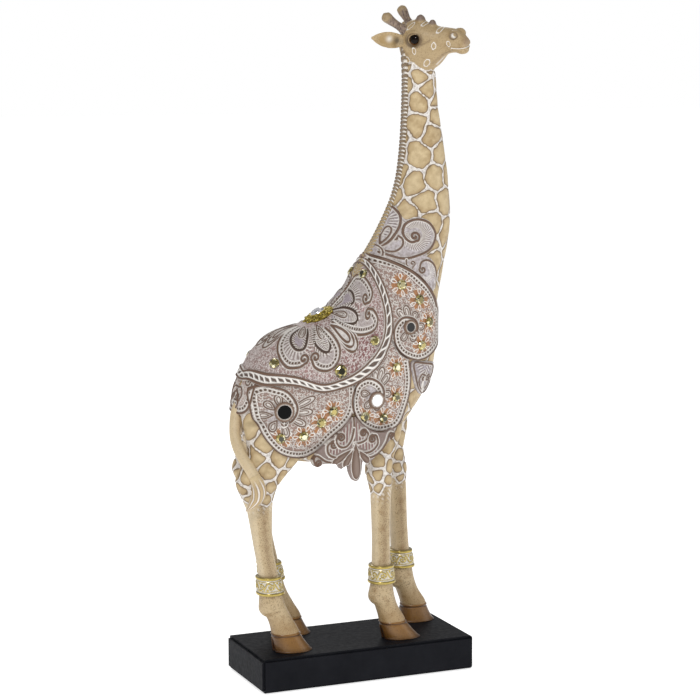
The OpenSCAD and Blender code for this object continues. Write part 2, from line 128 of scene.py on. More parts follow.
TAN = linear("d1bb92")
TAN_DARK = linear("a98f66")
WASH = linear("ebe6e0")
LAVENDER = linear("c9c3cd")
LINE = linear("664d3d")
LINE_DARK = linear("3f2e24")
BEAD = linear("55402f")
ORANGE = linear("b97a3f")
ROSE = linear("a9606a")
PINK = linear("a58a80")
PALE_PINK = linear("d3bcb4")

# ---------------------------------------------------------------- numbers and shapes


def unit(v):
    """Vectors scaled to length 1."""
    return v / np.linalg.norm(v, axis=-1, keepdims=True)


def smoothstep(low, high, x):
    """0 at low, 1 at high, with a soft start and end."""
    s = np.clip((x - low) / (high - low), 0, 1)
    return s * s * (3 - 2 * s)


def mix(a, b, share):
    """From a to b by a share of each row."""
    share = np.asarray(share)[..., None]
    return a * (1 - share) + b * share


def spline(keys, t):
    """Catmull-Rom value of a table at fractional rows."""
    last = len(keys) - 1
    s = np.clip(np.asarray(t, float), 0, last - 1e-6)
    i = s.astype(int)
    f = (s - i)[..., None]
    a, b = keys[np.maximum(i - 1, 0)], keys[i]
    c, d = keys[i + 1], keys[np.minimum(i + 2, last)]
    return (2 * b + (c - a) * f + (2 * a - 5 * b + 4 * c - d) * f**2
            + (3 * b - a - 3 * c + d) * f**3) / 2


def signed_power(v, e):
    """Power that keeps its base's sign; it squares or rounds an ellipse's corners."""
    return np.sign(v) * np.abs(v) ** e


def angles(step):
    """Angles in radians once round, at a step in degrees."""
    return np.radians(np.arange(0, 360, step))


def polar(a):
    """Directions at angles a in a plane."""
    return np.stack([np.cos(a), np.sin(a)], -1)


def level_ring(a, radius, z):
    """Circle of points at one height."""
    return np.c_[radius * polar(a), np.full(len(a), z)]


def left_of(way):
    """Directions turned a quarter to the left."""
    return np.stack([-way[..., 1], way[..., 0]], -1)


def run_along(line):
    """Length from a line's start to each of its points."""
    return np.r_[0, np.cumsum(np.linalg.norm(np.diff(line, axis=0), axis=1))]


def along_line(line, run, s):
    """Points of a flat line at lengths s, from its own lengths run."""
    return np.stack([np.interp(s, run, line[:, 0]), np.interp(s, run, line[:, 1])], 1)


def bilinear(layer, i, j):
    """Value of a grid at fractional rows i and columns j, held at its edges."""
    i, j = (np.clip(k, 0, layer.shape[axis] - 1.001) for axis, k in enumerate((i, j)))
    a, b = i.astype(int), j.astype(int)
    f, g = i - a, j - b
    if layer.ndim == 3:
        f, g = f[..., None], g[..., None]
    return ((1 - f) * (1 - g) * layer[a, b] + f * (1 - g) * layer[a + 1, b]
            + (1 - f) * g * layer[a, b + 1] + f * g * layer[a + 1, b + 1])


def within(outline, u, v):
    """True where the lattice of columns u and rows v lies inside a closed outline."""
    inside = np.zeros((len(u), v.shape[1]), bool)
    for p, q in zip(outline, np.roll(outline, -1, axis=0)):
        between = (p[1] > v) != (q[1] > v)
        slope = (q[0] - p[0]) / (q[1] - p[1] if q[1] != p[1] else 1e-9)
        inside ^= between & (u < p[0] + (v - p[1]) * slope)
    return inside


def squareness(t):
    """Power of the body's section at stations t: squarer at the trunk, an ellipse up the neck."""
    return 2.7 - 0.7 * np.clip((t - 7) / 5, 0, 1)


def skin(t, phi, proud=0.0):
    """Points of the body at stations t and angles phi from the spine, left positive."""
    t, phi = np.broadcast_arrays(np.asarray(t, float), np.radians(phi))
    k = spline(BODY_KEYS, t)
    e = (2 / squareness(t))[..., None]
    flat = np.zeros_like(k[..., 0])
    top = np.stack([k[..., 0], flat + BODY_Y, k[..., 1]], -1)
    under = np.stack([k[..., 2], flat + BODY_Y, k[..., 3]], -1)
    half = (top - under) / 2
    reach = 1 + np.asarray(proud)[..., None] / np.linalg.norm(half, axis=-1, keepdims=True)
    across = signed_power(np.sin(phi)[..., None], e) * (k[..., 4] + proud)[..., None]
    return (top + under) / 2 + half * reach * signed_power(np.cos(phi)[..., None], e) \
        + across * np.array([0, 1, 0])


def skin_normal(t, phi, reach):
    """Outward directions of the body's skin, from points a reach in stations to both sides."""
    along = skin(t + reach, phi) - skin(t - reach, phi)
    return unit(np.cross(along, skin(t, phi + 1) - skin(t, phi - 1)))


def leg_row(keys, z):
    """Smoothed station values of a leg at heights z."""
    rows = np.interp(-np.asarray(z, float), -keys[:, 0], np.arange(len(keys)))
    return spline(keys, rows)


def leg_centre(leg, z):
    """Middle of a leg at heights z, with its half length and half width there."""
    keys, stride, side = leg
    k = leg_row(keys, z)
    ahead = np.interp(z, [CORONET_Z, KNEE_Z, HIP_Z], stride[:3]) if side == LEFT else 0
    out = k[..., 2] + stride[3] if side == LEFT else -k[..., 2]
    return np.stack([k[..., 1] + ahead, out, np.asarray(z, float) + 0 * out], -1), k[..., 3], k[..., 4]


def turn(angle, axis):
    """Rotation matrix about one axis."""
    a = math.radians(angle)
    c, s = math.cos(a), math.sin(a)
    i, j = [(1, 2), (2, 0), (0, 1)][axis]
    m = np.eye(3)
    m[i, i] = m[j, j] = c
    m[i, j], m[j, i] = -s, s
    return m


HEAD_AXES = turn(-HEAD_TURN, 2) @ turn(HEAD_ROLL, 0)


def on_head(p):
    """Head coordinates (x along the muzzle, y to the left, z up) to the row's frame."""
    p = np.asarray(p, float) - [0, 0, HEAD_PIVOT[2]]
    return p @ HEAD_AXES.T + HEAD_PIVOT


def in_head(p):
    """The row's frame to head coordinates."""
    return (p - HEAD_PIVOT) @ HEAD_AXES + [0, 0, HEAD_PIVOT[2]]


# ---------------------------------------------------------------- meshes


def grid_faces(rows, columns, wrap=False):
    """Quads of a lattice of points, closed across its columns if wrap is set."""
    i, j = np.meshgrid(np.arange(rows - 1), np.arange(columns if wrap else columns - 1), indexing="ij")
    k = (j + 1) % columns
    quads = np.stack([i * columns + j, i * columns + k, (i + 1) * columns + k, (i + 1) * columns + j], -1)
    return quads.reshape(-1, 4)


def loft(rings):
    """Closed mesh through rings of points: (points, faces)."""
    rings = np.asarray(rings, float)
    m, n = rings.shape[:2]
    points = np.concatenate([rings.reshape(-1, 3), rings[:1].mean(1), rings[-1:].mean(1)])
    j = np.arange(n)
    first, last = m * n, m * n + 1
    start = np.stack([j + 0 * j, np.full(n, first), (j + 1) % n], -1)
    end = np.stack([(m - 1) * n + (j + 1) % n, np.full(n, last), (m - 1) * n + j], -1)
    return points, list(grid_faces(m, n, True)) + list(start) + list(end)


def make_mesh(name, points, faces):
    """A mesh in millimetres; faces are arrays or lists of corner numbers."""
    mesh = bpy.data.meshes.new(name)
    sizes = np.array([len(f) for f in faces])
    corners = np.concatenate([np.asarray(f) for f in faces])
    mesh.vertices.add(len(points))
    mesh.vertices.foreach_set("co", np.asarray(points, np.float32).ravel())
    mesh.loops.add(len(corners))
    mesh.loops.foreach_set("vertex_index", corners.astype(np.int32))
    mesh.polygons.add(len(sizes))
    mesh.polygons.foreach_set("loop_start", np.r_[0, np.cumsum(sizes)[:-1]].astype(np.int32))
    mesh.update(calc_edges=True)
    mesh.validate()
    return mesh


def joined(*parts):
    """One (points, faces) from several."""
    points, faces, n = [], [], 0
    for p, f in parts:
        points.append(np.asarray(p, float))
        faces += [np.asarray(c) + n for c in f]
        n += len(p)
    return np.concatenate(points), faces


def read_layer(layer, key, width, kind=np.float32):
    """One property of a mesh's points, edges or corners, as rows of a width."""
    values = np.empty(len(layer) * width, kind)
    layer.foreach_get(key, values)
    return values.reshape(-1, width)


def points_of(mesh):
    """Positions of a mesh's points."""
    return read_layer(mesh.vertices, "co", 3).astype(float)


def normals_of(mesh):
    """Outward directions at a mesh's points."""
    return read_layer(mesh.vertex_normals, "vector", 3).astype(float)


def corners_of(mesh):
    """Point number of each corner of a mesh's faces."""
    return read_layer(mesh.loops, "vertex_index", 1, np.int32)[:, 0]


def open_edges(faces):
    """Edges that only one of some quads has, in that quad's direction."""
    pairs = np.stack([faces, np.roll(faces, -1, axis=1)], -1).reshape(-1, 2)
    _, first, counts = np.unique(np.sort(pairs, 1), axis=0, return_index=True, return_counts=True)
    return pairs[first[counts == 1]]


def new_object(name, data):
    """An object in the scene."""
    thing = bpy.data.objects.new(name, data)
    bpy.context.scene.collection.objects.link(thing)
    return thing


def set_points(mesh, points):
    """Moves a mesh's points."""
    mesh.vertices.foreach_set("co", np.asarray(points, np.float32).ravel())
    mesh.update()


def set_attribute(mesh, name, values):
    """Per-point float or colour attribute that the materials read."""
    values = np.asarray(values, np.float32)
    if values.ndim == 1:
        layer = mesh.attributes.new(name, "FLOAT", "POINT")
        layer.data.foreach_set("value", values)
    else:
        layer = mesh.attributes.new(name, "FLOAT_COLOR", "POINT")
        layer.data.foreach_set("color", np.c_[values, np.ones(len(values))].astype(np.float32).ravel())


def relax(points, edges, rounds, weight=1.0, rate=0.5):
    """Laplacian smoothing; weight is one number or one per point."""
    n = len(points)
    a, b = edges.T
    count = np.bincount(edges.ravel(), minlength=n)[:, None]
    share = rate * (np.asarray(weight)[:, None] if np.ndim(weight) else weight)
    for _ in range(rounds):
        near = np.stack([np.bincount(a, points[b, k], n) + np.bincount(b, points[a, k], n)
                         for k in range(3)], 1)
        points = points + (near / count - points) * share
    return points


def remeshed(name, solids, voxel):
    """One closed mesh around overlapping closed solids."""
    mesh = make_mesh(name, *joined(*solids))
    thing = new_object(name, mesh)
    bpy.context.view_layer.objects.active = thing
    mesh.remesh_voxel_size = voxel
    mesh.remesh_voxel_adaptivity = 0
    bpy.ops.object.voxel_remesh()
    mesh = thing.data
    bpy.data.objects.remove(thing)
    return mesh


def add_piece(name, mesh, material, replaced, sharp=None):
    """Scales a mesh from millimetres and puts it on the root body."""
    set_points(mesh, points_of(mesh) * MM)
    mesh.shade_smooth()
    if sharp:
        mesh.set_sharp_from_angle(angle=math.radians(sharp))
    thing = new_object(name, mesh)
    mesh.materials.clear()
    mesh.materials.append(material)
    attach(thing, "root")
    if replaced:
        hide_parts(*replaced)
    return thing


def build_piece(name, shape, material, slot, replaced, sharp=None, **attributes):
    """A piece from (points, faces) and its point attributes."""
    mesh = make_mesh(name, *shape)
    for key, values in attributes.items():
        set_attribute(mesh, key, values)
    return add_piece(name, mesh, material, replaced, sharp)


# ---------------------------------------------------------------- material helpers


class Nodes:
    """Small builder of one material's nodes."""

    def __init__(self, name):
        self.material = bpy.data.materials.new(name)
        self.material.use_nodes = True
        self.tree = self.material.node_tree
        self.shader = self.tree.nodes["Principled BSDF"]

    def put(self, kind, inputs=None, **settings):
        """A node of a kind, with its settings and inputs."""
        node = self.tree.nodes.new("ShaderNode" + kind)
        for key, value in settings.items():
            setattr(node, key, value)
        for key, value in (inputs or {}).items():
            self.feed(node.inputs[key], value)
        return node

    def feed(self, socket, value):
        """Links a socket to another, or sets its value."""
        if isinstance(value, bpy.types.NodeSocket):
            self.tree.links.new(value, socket)
        elif isinstance(value, (tuple, list, np.ndarray)):
            value = [float(v) for v in value]
            socket.default_value = (*value, 1.0) if socket.type == "RGBA" and len(value) == 3 else value
        else:
            socket.default_value = value

    def surface(self, **values):
        """Sets the shader's inputs and gives back the finished material."""
        for key, value in values.items():
            self.feed(self.shader.inputs[key.replace("_", " ").title().replace("Ior", "IOR")], value)
        return self.material

    def noise(self, scale, detail=4.0, roughness=0.55):
        """Noise in object space; scale is cells per millimetre."""
        place = self.put("TexCoord").outputs["Object"]
        noise = self.put("TexNoise", {"Vector": place, "Scale": scale / MM, "Detail": detail,
                                      "Roughness": roughness})
        return noise.outputs["Fac"]

    def ramp(self, value, *stops):
        """Grey ramp through (position, level) stops."""
        node = self.put("ValToRGB", {"Fac": value})
        elements = node.color_ramp.elements
        while len(elements) < len(stops):
            elements.new(0.5)
        for element, (position, level) in zip(elements, stops):
            element.position = position
            element.color = (level, level, level, 1)
        return node.outputs["Color"]

    def blend(self, a, b, share):
        """Colour from a to b by a share."""
        node = self.put("Mix", data_type="RGBA")
        for socket, value in zip((node.inputs[0], node.inputs[6], node.inputs[7]), (share, a, b)):
            self.feed(socket, value)
        return node.outputs[2]

    def attribute(self, name, colour=False):
        """A point attribute of the mesh, as a number or a colour."""
        node = self.put("Attribute", attribute_name=name)
        return node.outputs["Color" if colour else "Fac"]

    def math(self, operation, a, b=0.0):
        """One sum on numbers."""
        node = self.put("Math", operation=operation)
        self.feed(node.inputs[0], a)
        self.feed(node.inputs[1], b)
        return node.outputs[0]

    def over(self, low, high, level, value):
        """A ramp from 0 at low to 1 at high, scaled to a level."""
        return self.math("MULTIPLY", self.ramp(value, (low, 0), (high, 1)), level)

    def bump(self, height, strength, distance):
        """Fine relief from a height; distance is in millimetres."""
        node = self.put("Bump", {"Height": height, "Strength": strength, "Distance": distance * MM})
        self.feed(self.shader.inputs["Normal"], node.outputs["Normal"])


# ---------------------------------------------------------------- painted relief, laid out flat


def curve(points, closed=False, count=14):
    """Smooth line through a few points."""
    p = np.asarray(points, float)
    if closed:
        p = np.vstack([p[-2:], p, p[:3]])
        t = np.linspace(2, len(p) - 3, (len(p) - 5) * count + 1)
        return spline(p, t)[:-1]
    return spline(p, np.linspace(0, len(p) - 1, (len(p) - 1) * count + 1))


def arc(centre, radius, start, end, count=24):
    """Part of a circle between two angles in degrees."""
    a = np.radians(np.linspace(start, end, count))
    return np.asarray(centre) + radius * polar(a)


def volute(points, radius, turns=1.4, hand=1):
    """A smooth line that ends in a spiral; hand 1 curls to the left of its way."""
    path = curve(points)
    way = unit(path[-1] - path[-3])
    centre = path[-1] + hand * left_of(way) * radius
    start = math.atan2(*(path[-1] - centre)[::-1])
    s = np.linspace(0, 1, int(40 * turns))[1:]
    a = start + hand * 2 * math.pi * turns * s
    r = radius * (1 - s) ** 0.8 + 0.12 * radius
    return np.vstack([path, centre + r[:, None] * polar(a)])


def petal(base, tip, width, count=26):
    """Closed teardrop from a pointed base to a round tip."""
    base, tip = np.asarray(base, float), np.asarray(tip, float)
    along = tip - base
    aside = left_of(along) / np.linalg.norm(along)
    a = np.linspace(0, 2 * math.pi, count, endpoint=False)
    reach = (1 - np.cos(a)) / 2
    return base + along * reach[:, None] + aside * (width / 2 * np.sin(a) * reach**0.55)[:, None]


class Canvas:
    """Heights in millimetres and colours on a fine raster; u and v are millimetres."""

    def __init__(self, low, high, ground):
        self.low = np.asarray(low, float)
        self.size = np.ceil((np.asarray(high) - self.low) / CANVAS_STEP).astype(int) + 1
        self.height = np.zeros(self.size)
        self.colour = np.empty((*self.size, 3))
        self.colour[:] = ground
        self.inside = None

    def window(self, low, high):
        """The part of the raster between two corners, with its columns u and rows v."""
        a = np.clip(((low - self.low) / CANVAS_STEP).astype(int), 0, self.size - 1)
        b = np.clip(((high - self.low) / CANVAS_STEP).astype(int) + 2, 1, self.size)
        u = self.low[0] + CANVAS_STEP * np.arange(a[0], b[0])
        v = self.low[1] + CANVAS_STEP * np.arange(a[1], b[1])
        return (slice(a[0], b[0]), slice(a[1], b[1])), u[:, None], v[None, :]

    def lattice(self):
        """Columns u and rows v of the whole canvas."""
        return self.window(self.low, self.low + self.size * CANVAS_STEP)[1:]

    def distance(self, line, reach, closed=False):
        """Distance to a line within reach of it, in the line's own window."""
        line = np.asarray(line, float)
        if closed:
            line = np.vstack([line, line[:1]])
        place, u, v = self.window(line.min(0) - reach, line.max(0) + reach)
        field = np.full((len(u), v.shape[1]), 99.0)
        for p, q in zip(line[:-1], line[1:]):
            low, high = np.minimum(p, q) - reach, np.maximum(p, q) + reach
            i = slice(*np.searchsorted(u[:, 0], [low[0], high[0]]))
            j = slice(*np.searchsorted(v[0], [low[1], high[1]]))
            du, dv = u[i] - p[0], v[:, j] - p[1]
            way = q - p
            s = np.clip((du * way[0] + dv * way[1]) / max(way @ way, 1e-9), 0, 1)
            np.minimum(field[i, j], np.hypot(du - s * way[0], dv - s * way[1]), out=field[i, j])
        return place, field

    def shape(self, outline):
        """Signed distance inside a closed outline, positive within."""
        place, field = self.distance(outline, OUTLINE_REACH, closed=True)
        signed = np.full(self.size, -OUTLINE_REACH)
        inside = within(outline, *self.lattice())
        signed[inside] = OUTLINE_REACH
        near = np.minimum(field, OUTLINE_REACH)
        signed[place] = np.where(inside[place], near, -near)
        return signed

    def paint(self, place, share, colour):
        """Lays a colour over a window, thick as share."""
        part = self.colour[place]
        part[:] = mix(part, np.broadcast_to(colour, part.shape), share)

    def raise_to(self, place, height):
        """Lifts a window to a height where it lies lower."""
        self.height[place] = np.maximum(self.height[place], height)

    def stroke(self, line, width, height, colour=LINE, halo=0.6, closed=False, tint=WASH):
        """Rounded raised line with a washed edge on both sides, its colour painted lighter along the crest
        and darker at the sides as highlight and shade.
        """
        place, d = self.distance(line, width / 2 + halo + 0.3, closed)
        half = width / 2
        if halo:
            self.paint(place, 0.85 * smoothstep(half + halo + 0.15, half + halo * 0.6, d), tint)
        # painted highlight and shade: the line is brightened along its crest and darkened towards its sides
        shade = smoothstep(0.25 * half, half, d)[..., None]
        self.paint(place, smoothstep(half + 0.1, half - 0.14, d), colour * (1.15 - 0.5 * shade))
        dome = height * np.sqrt(np.clip(1 - (d / (half + 0.15)) ** 2, 0, 1))
        self.raise_to(place, dome)

    def fill(self, outline, colour, share=1.0, height=0.0):
        """Fills a closed outline's own window."""
        outline = np.asarray(outline, float)
        place, u, v = self.window(outline.min(0), outline.max(0))
        inside = within(outline, u, v)
        self.paint(place, share * inside, colour)
        self.height[place] = np.where(inside, np.maximum(self.height[place], height), self.height[place])

    def dot(self, centre, radius, height, colour=LINE, halo=0.35):
        """Small dome, with a washed ring round it if halo is set."""
        centre = np.asarray(centre, float)
        reach = radius + halo + 0.2
        place, u, v = self.window(centre - reach, centre + reach)
        d = np.hypot(u - centre[0], v - centre[1])
        if halo:
            self.paint(place, smoothstep(radius + halo + 0.15, radius + halo - 0.1, d), WASH)
        self.paint(place, smoothstep(radius + 0.12, radius - 0.12, d), colour)
        dome = height * np.sqrt(np.clip(1 - (d / (radius + 0.1)) ** 2, 0, 1))
        self.raise_to(place, dome)

    def curl(self, centre, radius, start, sweep, width, height, colour):
        """Short thin arc of filigree."""
        centre = np.asarray(centre, float)
        reach = radius + width + 0.3
        place, u, v = self.window(centre - reach, centre + reach)
        a = (np.degrees(np.arctan2(v - centre[1], u - centre[0])) - start) % 360
        d = np.abs(np.hypot(u - centre[0], v - centre[1]) - radius) + 9.0 * (a > sweep)
        shadow = self.colour[place] * 0.5
        self.paint(place, 0.5 * smoothstep(width / 2 + 0.45, width / 2, d), shadow)
        self.paint(place, smoothstep(width / 2 + 0.1, width / 2 - 0.1, d), colour)
        self.raise_to(place, height * smoothstep(width / 2 + 0.1, 0, d))

    def filigree(self, mask, spacing=2.3, colour=WASH, height=0.35):
        """Small pale curls scattered where mask is true."""
        count = (self.size * CANVAS_STEP / spacing).astype(int) + 1
        for i in range(count[0]):
            for j in range(count[1]):
                p = self.low + (np.array([i, j]) + rng.uniform(0.1, 0.9, 2)) * spacing
                r, start, sweep = rng.uniform(0.75, 1.25), rng.uniform(0, 360), rng.uniform(150, 290)
                k = np.clip(((p - self.low) / CANVAS_STEP).astype(int), 0, self.size - 1)
                if mask[k[0], k[1]]:
                    self.curl(p, r, start, sweep, 0.64, height, colour)

    def beads(self, line, spacing, radius, height=0.45, colour=LINE, halo=0.3):
        """Row of small domes along a line."""
        line = np.asarray(line, float)
        run = run_along(line)
        for place in along_line(line, run, np.arange(spacing / 2, run[-1], spacing)):
            self.dot(place, radius, height, colour, halo)

    def loop(self, base, tip, width, colour=LINE, ground=WASH):
        """Petal outlined twice around a pale middle."""
        outer = petal(base, tip, width)
        self.fill(outer, ground, 0.9, 0.25)
        self.stroke(outer, 1.2, 0.9, colour, 0.5, closed=True)
        base, tip = np.asarray(base, float), np.asarray(tip, float)
        inner = petal(base + (tip - base) * 0.25, base + (tip - base) * 0.84, width * 0.46)
        self.stroke(inner, 0.85, 0.55, colour, 0.2, closed=True)

    def patch(self, centre, radius, colour, points=5, turn=0.0):
        """Ragged patch of colour."""
        a = angles(10)
        edge = radius * (1 + 0.2 * np.cos(points * (a - turn)) + 0.1 * np.cos(2 * points * a))
        self.fill(np.asarray(centre) + edge[:, None] * polar(a), colour, 0.95)

    def flower(self, centre, radius, petals, turn=0.0):
        """Outlines of pale petals round a stone."""
        centre = np.asarray(centre, float)
        for k in range(petals):
            b = turn + 2 * math.pi * k / petals
            way = np.array([math.cos(b), math.sin(b)])
            leaf = petal(centre + way * radius * 0.45, centre + way * radius * 1.05, radius * 0.4)
            self.stroke(leaf, 0.75, 0.5, WASH, 0, closed=True)

    def fan(self, centre, inner, outer, start, end, count, bend=12, colour=WASH, width=0.55):
        """Fine curved lines spreading from a curl."""
        for a in np.linspace(start, end, count):
            way = polar(np.radians(a + bend * np.array([0, 0.5, 1])))
            reach = np.array([[inner], [(inner + outer) / 2], [outer]])
            self.stroke(curve(np.asarray(centre) + way * reach, count=4), width, 0.35, colour, 0)

    def sample(self, layer, u, v):
        """Height, colour or distance at any u and v."""
        return bilinear(layer, (u - self.low[0]) / CANVAS_STEP, (v - self.low[1]) / CANVAS_STEP)


RAY_START = 150.0
BROOCH_STATION = 5.6


class SideSurface:
    """The casting seen level from one side: maps (s, z) to points and outward normals."""

    def __init__(self, low, high, side, azimuth=0.0, tree=None):
        a = math.radians(azimuth)
        self.out = np.array([math.sin(a), side * math.cos(a), 0])
        self.way = np.array([math.cos(a), -side * math.sin(a), 0])
        self.low = np.asarray(low, float) - 3
        self.size = np.ceil(np.asarray(high) - self.low + 4).astype(int)
        self.rise = np.full(self.size, np.nan)
        self.origin = np.array([0, BODY_Y, 0])
        for i in range(self.size[0]):
            for j in range(self.size[1]):
                p = self.origin + self.way * (self.low[0] + i) + [0, 0, self.low[1] + j]
                hit = tree.ray_cast(Vector(p + self.out * RAY_START), Vector(-self.out), RAY_START)
                if hit[0] is not None:
                    self.rise[i, j] = (np.array(hit[0]) - self.origin) @ self.out
        self.fill_gaps()
        for _ in range(2):
            pad = np.pad(self.rise, 1, mode="edge")
            self.rise = (self.rise * 2 + (pad[2:, 1:-1] + pad[:-2, 1:-1] + pad[1:-1, 2:]
                                          + pad[1:-1, :-2]) / 2) / 4
        self.slope = np.gradient(self.rise)

    def fill_gaps(self):
        """Carries the surface on past the body's outline, from the nearest known places."""
        while np.isnan(self.rise).any():
            pad = np.pad(self.rise, 1, constant_values=np.nan)
            near = np.stack([pad[2:, 1:-1], pad[:-2, 1:-1], pad[1:-1, 2:], pad[1:-1, :-2]])
            known = ~np.isnan(near)
            mean = np.where(known, near, 0).sum(0) / np.maximum(known.sum(0), 1)
            gap = np.isnan(self.rise) & known.any(0)
            self.rise[gap] = mean[gap]

    def read(self, layer, s, z):
        """Value of a 1 mm grid at any place of the side view."""
        return bilinear(layer, s - self.low[0], z - self.low[1])

    def __call__(self, s, z):
        """Points and outward normals at places of the side view."""
        rise = self.read(self.rise, s, z)
        points = self.origin + s[..., None] * self.way + rise[..., None] * self.out \
            + z[..., None] * np.array([0, 0, 1])
        ds = np.clip(self.read(self.slope[0], s, z), -2, 2)[..., None]
        dz = np.clip(self.read(self.slope[1], s, z), -2, 2)[..., None]
        return points, unit(self.out - ds * self.way - dz * np.array([0, 0, 1]))


class BackSurface:
    """The body's skin unrolled: u along the back from the brooch, v round from the spine."""

    def __init__(self, side):
        self.side = side
        self.t = np.linspace(0.2, 11, 217)
        run = run_along(skin(self.t, 45.0))
        self.run = run - np.interp(BROOCH_STATION, self.t, run)
        phi = np.arange(0, 171.0)
        rings = skin(self.t[:, None], phi[None, :])
        runs = np.cumsum(np.linalg.norm(np.diff(rings, axis=1), axis=2), axis=1)
        self.v = np.arange(0, 120.0)
        self.angle = np.array([np.interp(self.v, np.r_[0, row], phi) for row in runs])

    def __call__(self, u, v):
        """Points and outward normals at places of the unrolled skin."""
        t = np.interp(u, self.run, self.t)
        row = (t - self.t[0]) / (self.t[1] - self.t[0])
        phi = bilinear(self.angle, row, np.abs(v)) * np.sign(v) * self.side
        return skin(t, phi), skin_normal(t, phi, 0.04)


def plate(name, canvas, surface, base, material, slot, replaced, depth=1.2):
    """Closed plate of a canvas's outline laid on a surface, with its relief on top."""
    u = canvas.low[0] + PANEL_STEP * np.arange(int(canvas.size[0] * CANVAS_STEP / PANEL_STEP))
    v = canvas.low[1] + PANEL_STEP * np.arange(int(canvas.size[1] * CANVAS_STEP / PANEL_STEP))
    u, v = np.meshgrid(u, v, indexing="ij")
    inner = canvas.sample(canvas.inside, u, v)
    quads = grid_faces(*u.shape)
    quads = quads[(inner.ravel()[quads] > 0).any(1)]
    used, corners = np.unique(quads, return_inverse=True)
    quads = corners.reshape(quads.shape)
    u, v, inner = u.ravel()[used], v.ravel()[used], inner.ravel()[used]
    for _ in range(2):
        step = CANVAS_STEP * 1.5
        gu = canvas.sample(canvas.inside, u + step, v) - canvas.sample(canvas.inside, u - step, v)
        gv = canvas.sample(canvas.inside, u, v + step) - canvas.sample(canvas.inside, u, v - step)
        size = np.maximum(np.hypot(gu, gv), 1e-6)
        back = np.minimum(inner, 0)
        u, v = u - back * gu / size, v - back * gv / size
        inner = canvas.sample(canvas.inside, u, v)
    points, normals = surface(u, v)
    top = points + normals * (base + canvas.sample(canvas.height, u, v))[:, None]
    under = points - normals * depth
    n = len(top)
    rim = open_edges(quads)
    wall = np.stack([rim[:, 1], rim[:, 0], rim[:, 0] + n, rim[:, 1] + n], 1)
    faces = np.concatenate([quads, quads[:, ::-1] + n, wall])
    a, b, c = (points[quads[:, k]] for k in (0, 1, 3))
    if (np.cross(b - a, c - a) * normals[quads[:, 0]]).sum() < 0:
        faces = faces[:, ::-1]
    colour = canvas.sample(canvas.colour, u, v)
    rise = canvas.sample(canvas.height, u, v)
    return build_piece(name, (np.vstack([top, under]), list(faces)), material, slot, replaced, sharp=70,
                       paint=np.vstack([colour, colour]), rise=np.r_[rise, rise * 0])


def relief_material():
    """Paint in the canvas's colours with worn ridges, painted shade in the low places mottled by noise, and
    fine grain.
    """
    n = Nodes("painted_relief")
    fine = n.noise(1.8, 3)
    paint = n.attribute("paint", True)
    hollow = n.ramp(n.math("DIVIDE", n.attribute("rise"), 1.6), (0.05, 1), (0.3, 0))
    # painted shade: the relief's low ground is darkened towards grey brown, mottled by noise
    dark_mottle = n.ramp(n.noise(0.5, 4), (0.32, 0.12), (0.66, 0.7))
    colour = n.blend(paint, linear("7c695e"), n.math("MULTIPLY", hollow, dark_mottle))
    colour = n.blend(colour, linear("5d4a3c"), n.over(0.6, 0.78, 0.3, fine))
    n.bump(fine, 0.12, 0.2)
    return n.surface(base_color=colour, roughness=n.ramp(n.noise(0.6, 3), (0.3, 0.45), (0.7, 0.62)))


RELIEF = relief_material()


# ---------------------------------------------------------------- body casting


def body_solid():
    """Body and neck from rump to poll."""
    t = np.linspace(0, 18, 145)
    phi = np.arange(0, 360, 5)
    return loft(skin(t[:, None], phi[None, :]))


def leg_solid(leg):
    """Leg down to its coronet, squarer in section below the knee, with a groove before the tendon."""
    z = np.linspace(CORONET_Z - 0.5, leg[0][0, 0], 90)
    centre, length, width = leg_centre(leg, z)
    a = angles(7.5)
    shin = smoothstep(146, 132, z) * smoothstep(66, 78, z)
    groove = 1 - 0.1 * shin[:, None] * np.exp(-((np.abs(np.degrees(a)[None, :] - 180) - 62) / 16) ** 2)
    e = 0.9
    x = centre[:, None, 0] + length[:, None] * signed_power(np.cos(a), e) * groove
    y = centre[:, None, 1] + width[:, None] * signed_power(np.sin(a), e) * groove
    return loft(np.stack([x, y, np.broadcast_to(z[:, None], x.shape)], -1))


def ball(centre, radii, axes=np.eye(3)):
    """Closed ellipsoid."""
    a = np.radians(np.linspace(3, 177, 20))
    b = angles(12)
    p = np.stack([np.sin(a)[:, None] * np.cos(b), np.sin(a)[:, None] * np.sin(b),
                  np.broadcast_to(np.cos(a)[:, None], (20, 30))], -1)
    return loft(np.asarray(centre) + (p * radii) @ np.asarray(axes).T)


def head_solids():
    """Skull and muzzle with their brow bumps, lips, eye mounds, jaw muscles and nostril mounds."""
    t = np.linspace(0, len(HEAD_KEYS) - 1, 70)
    k = spline(HEAD_KEYS, t)
    a = angles(6)
    middle = np.stack([(k[:, 0] + k[:, 2]) / 2, 0 * t, (k[:, 1] + k[:, 3]) / 2], -1)
    up = np.stack([(k[:, 0] - k[:, 2]) / 2, 0 * t, (k[:, 1] - k[:, 3]) / 2], -1)
    rings = middle[:, None] + up[:, None] * np.cos(a)[None, :, None]
    rings[..., 1] += k[:, None, 4] * signed_power(np.sin(a), 0.9)
    solids = [loft(rings)]
    solids.append(ball([3.6, 0, 500.4], [3.7, 3.8, 5.4]))
    solids.append(ball([13.3, 0, 498.2], [2.6, 2.8, 3.9]))
    solids.append(ball([36.5, 0, 478.6], [4.6, 4.8, 2.6]))
    for side in (RIGHT, LEFT):
        solids.append(ball([1.5, side * 8.2, 490.8], [6.6, 4.2, 5.6]))
        solids.append(ball([5, side * 6.5, 473], [9.5, 5.2, 8.5]))
        solids.append(ball([33.2, side * 4.6, 490.2], [3.9, 3.3, 3.7]))
    return [(on_head(p), f) for p, f in solids]


def nostril_reach(x, z):
    """Distance from the nostril's middle in the head's side view, 1 at its edge."""
    return np.hypot((x - NOSTRIL[0]) / 2.2, (z - NOSTRIL[1]) / 1.8)


def mouth_height(x):
    """Height of the mouth's line along the muzzle."""
    return 481.6 + 0.012 * (x - 36) ** 2


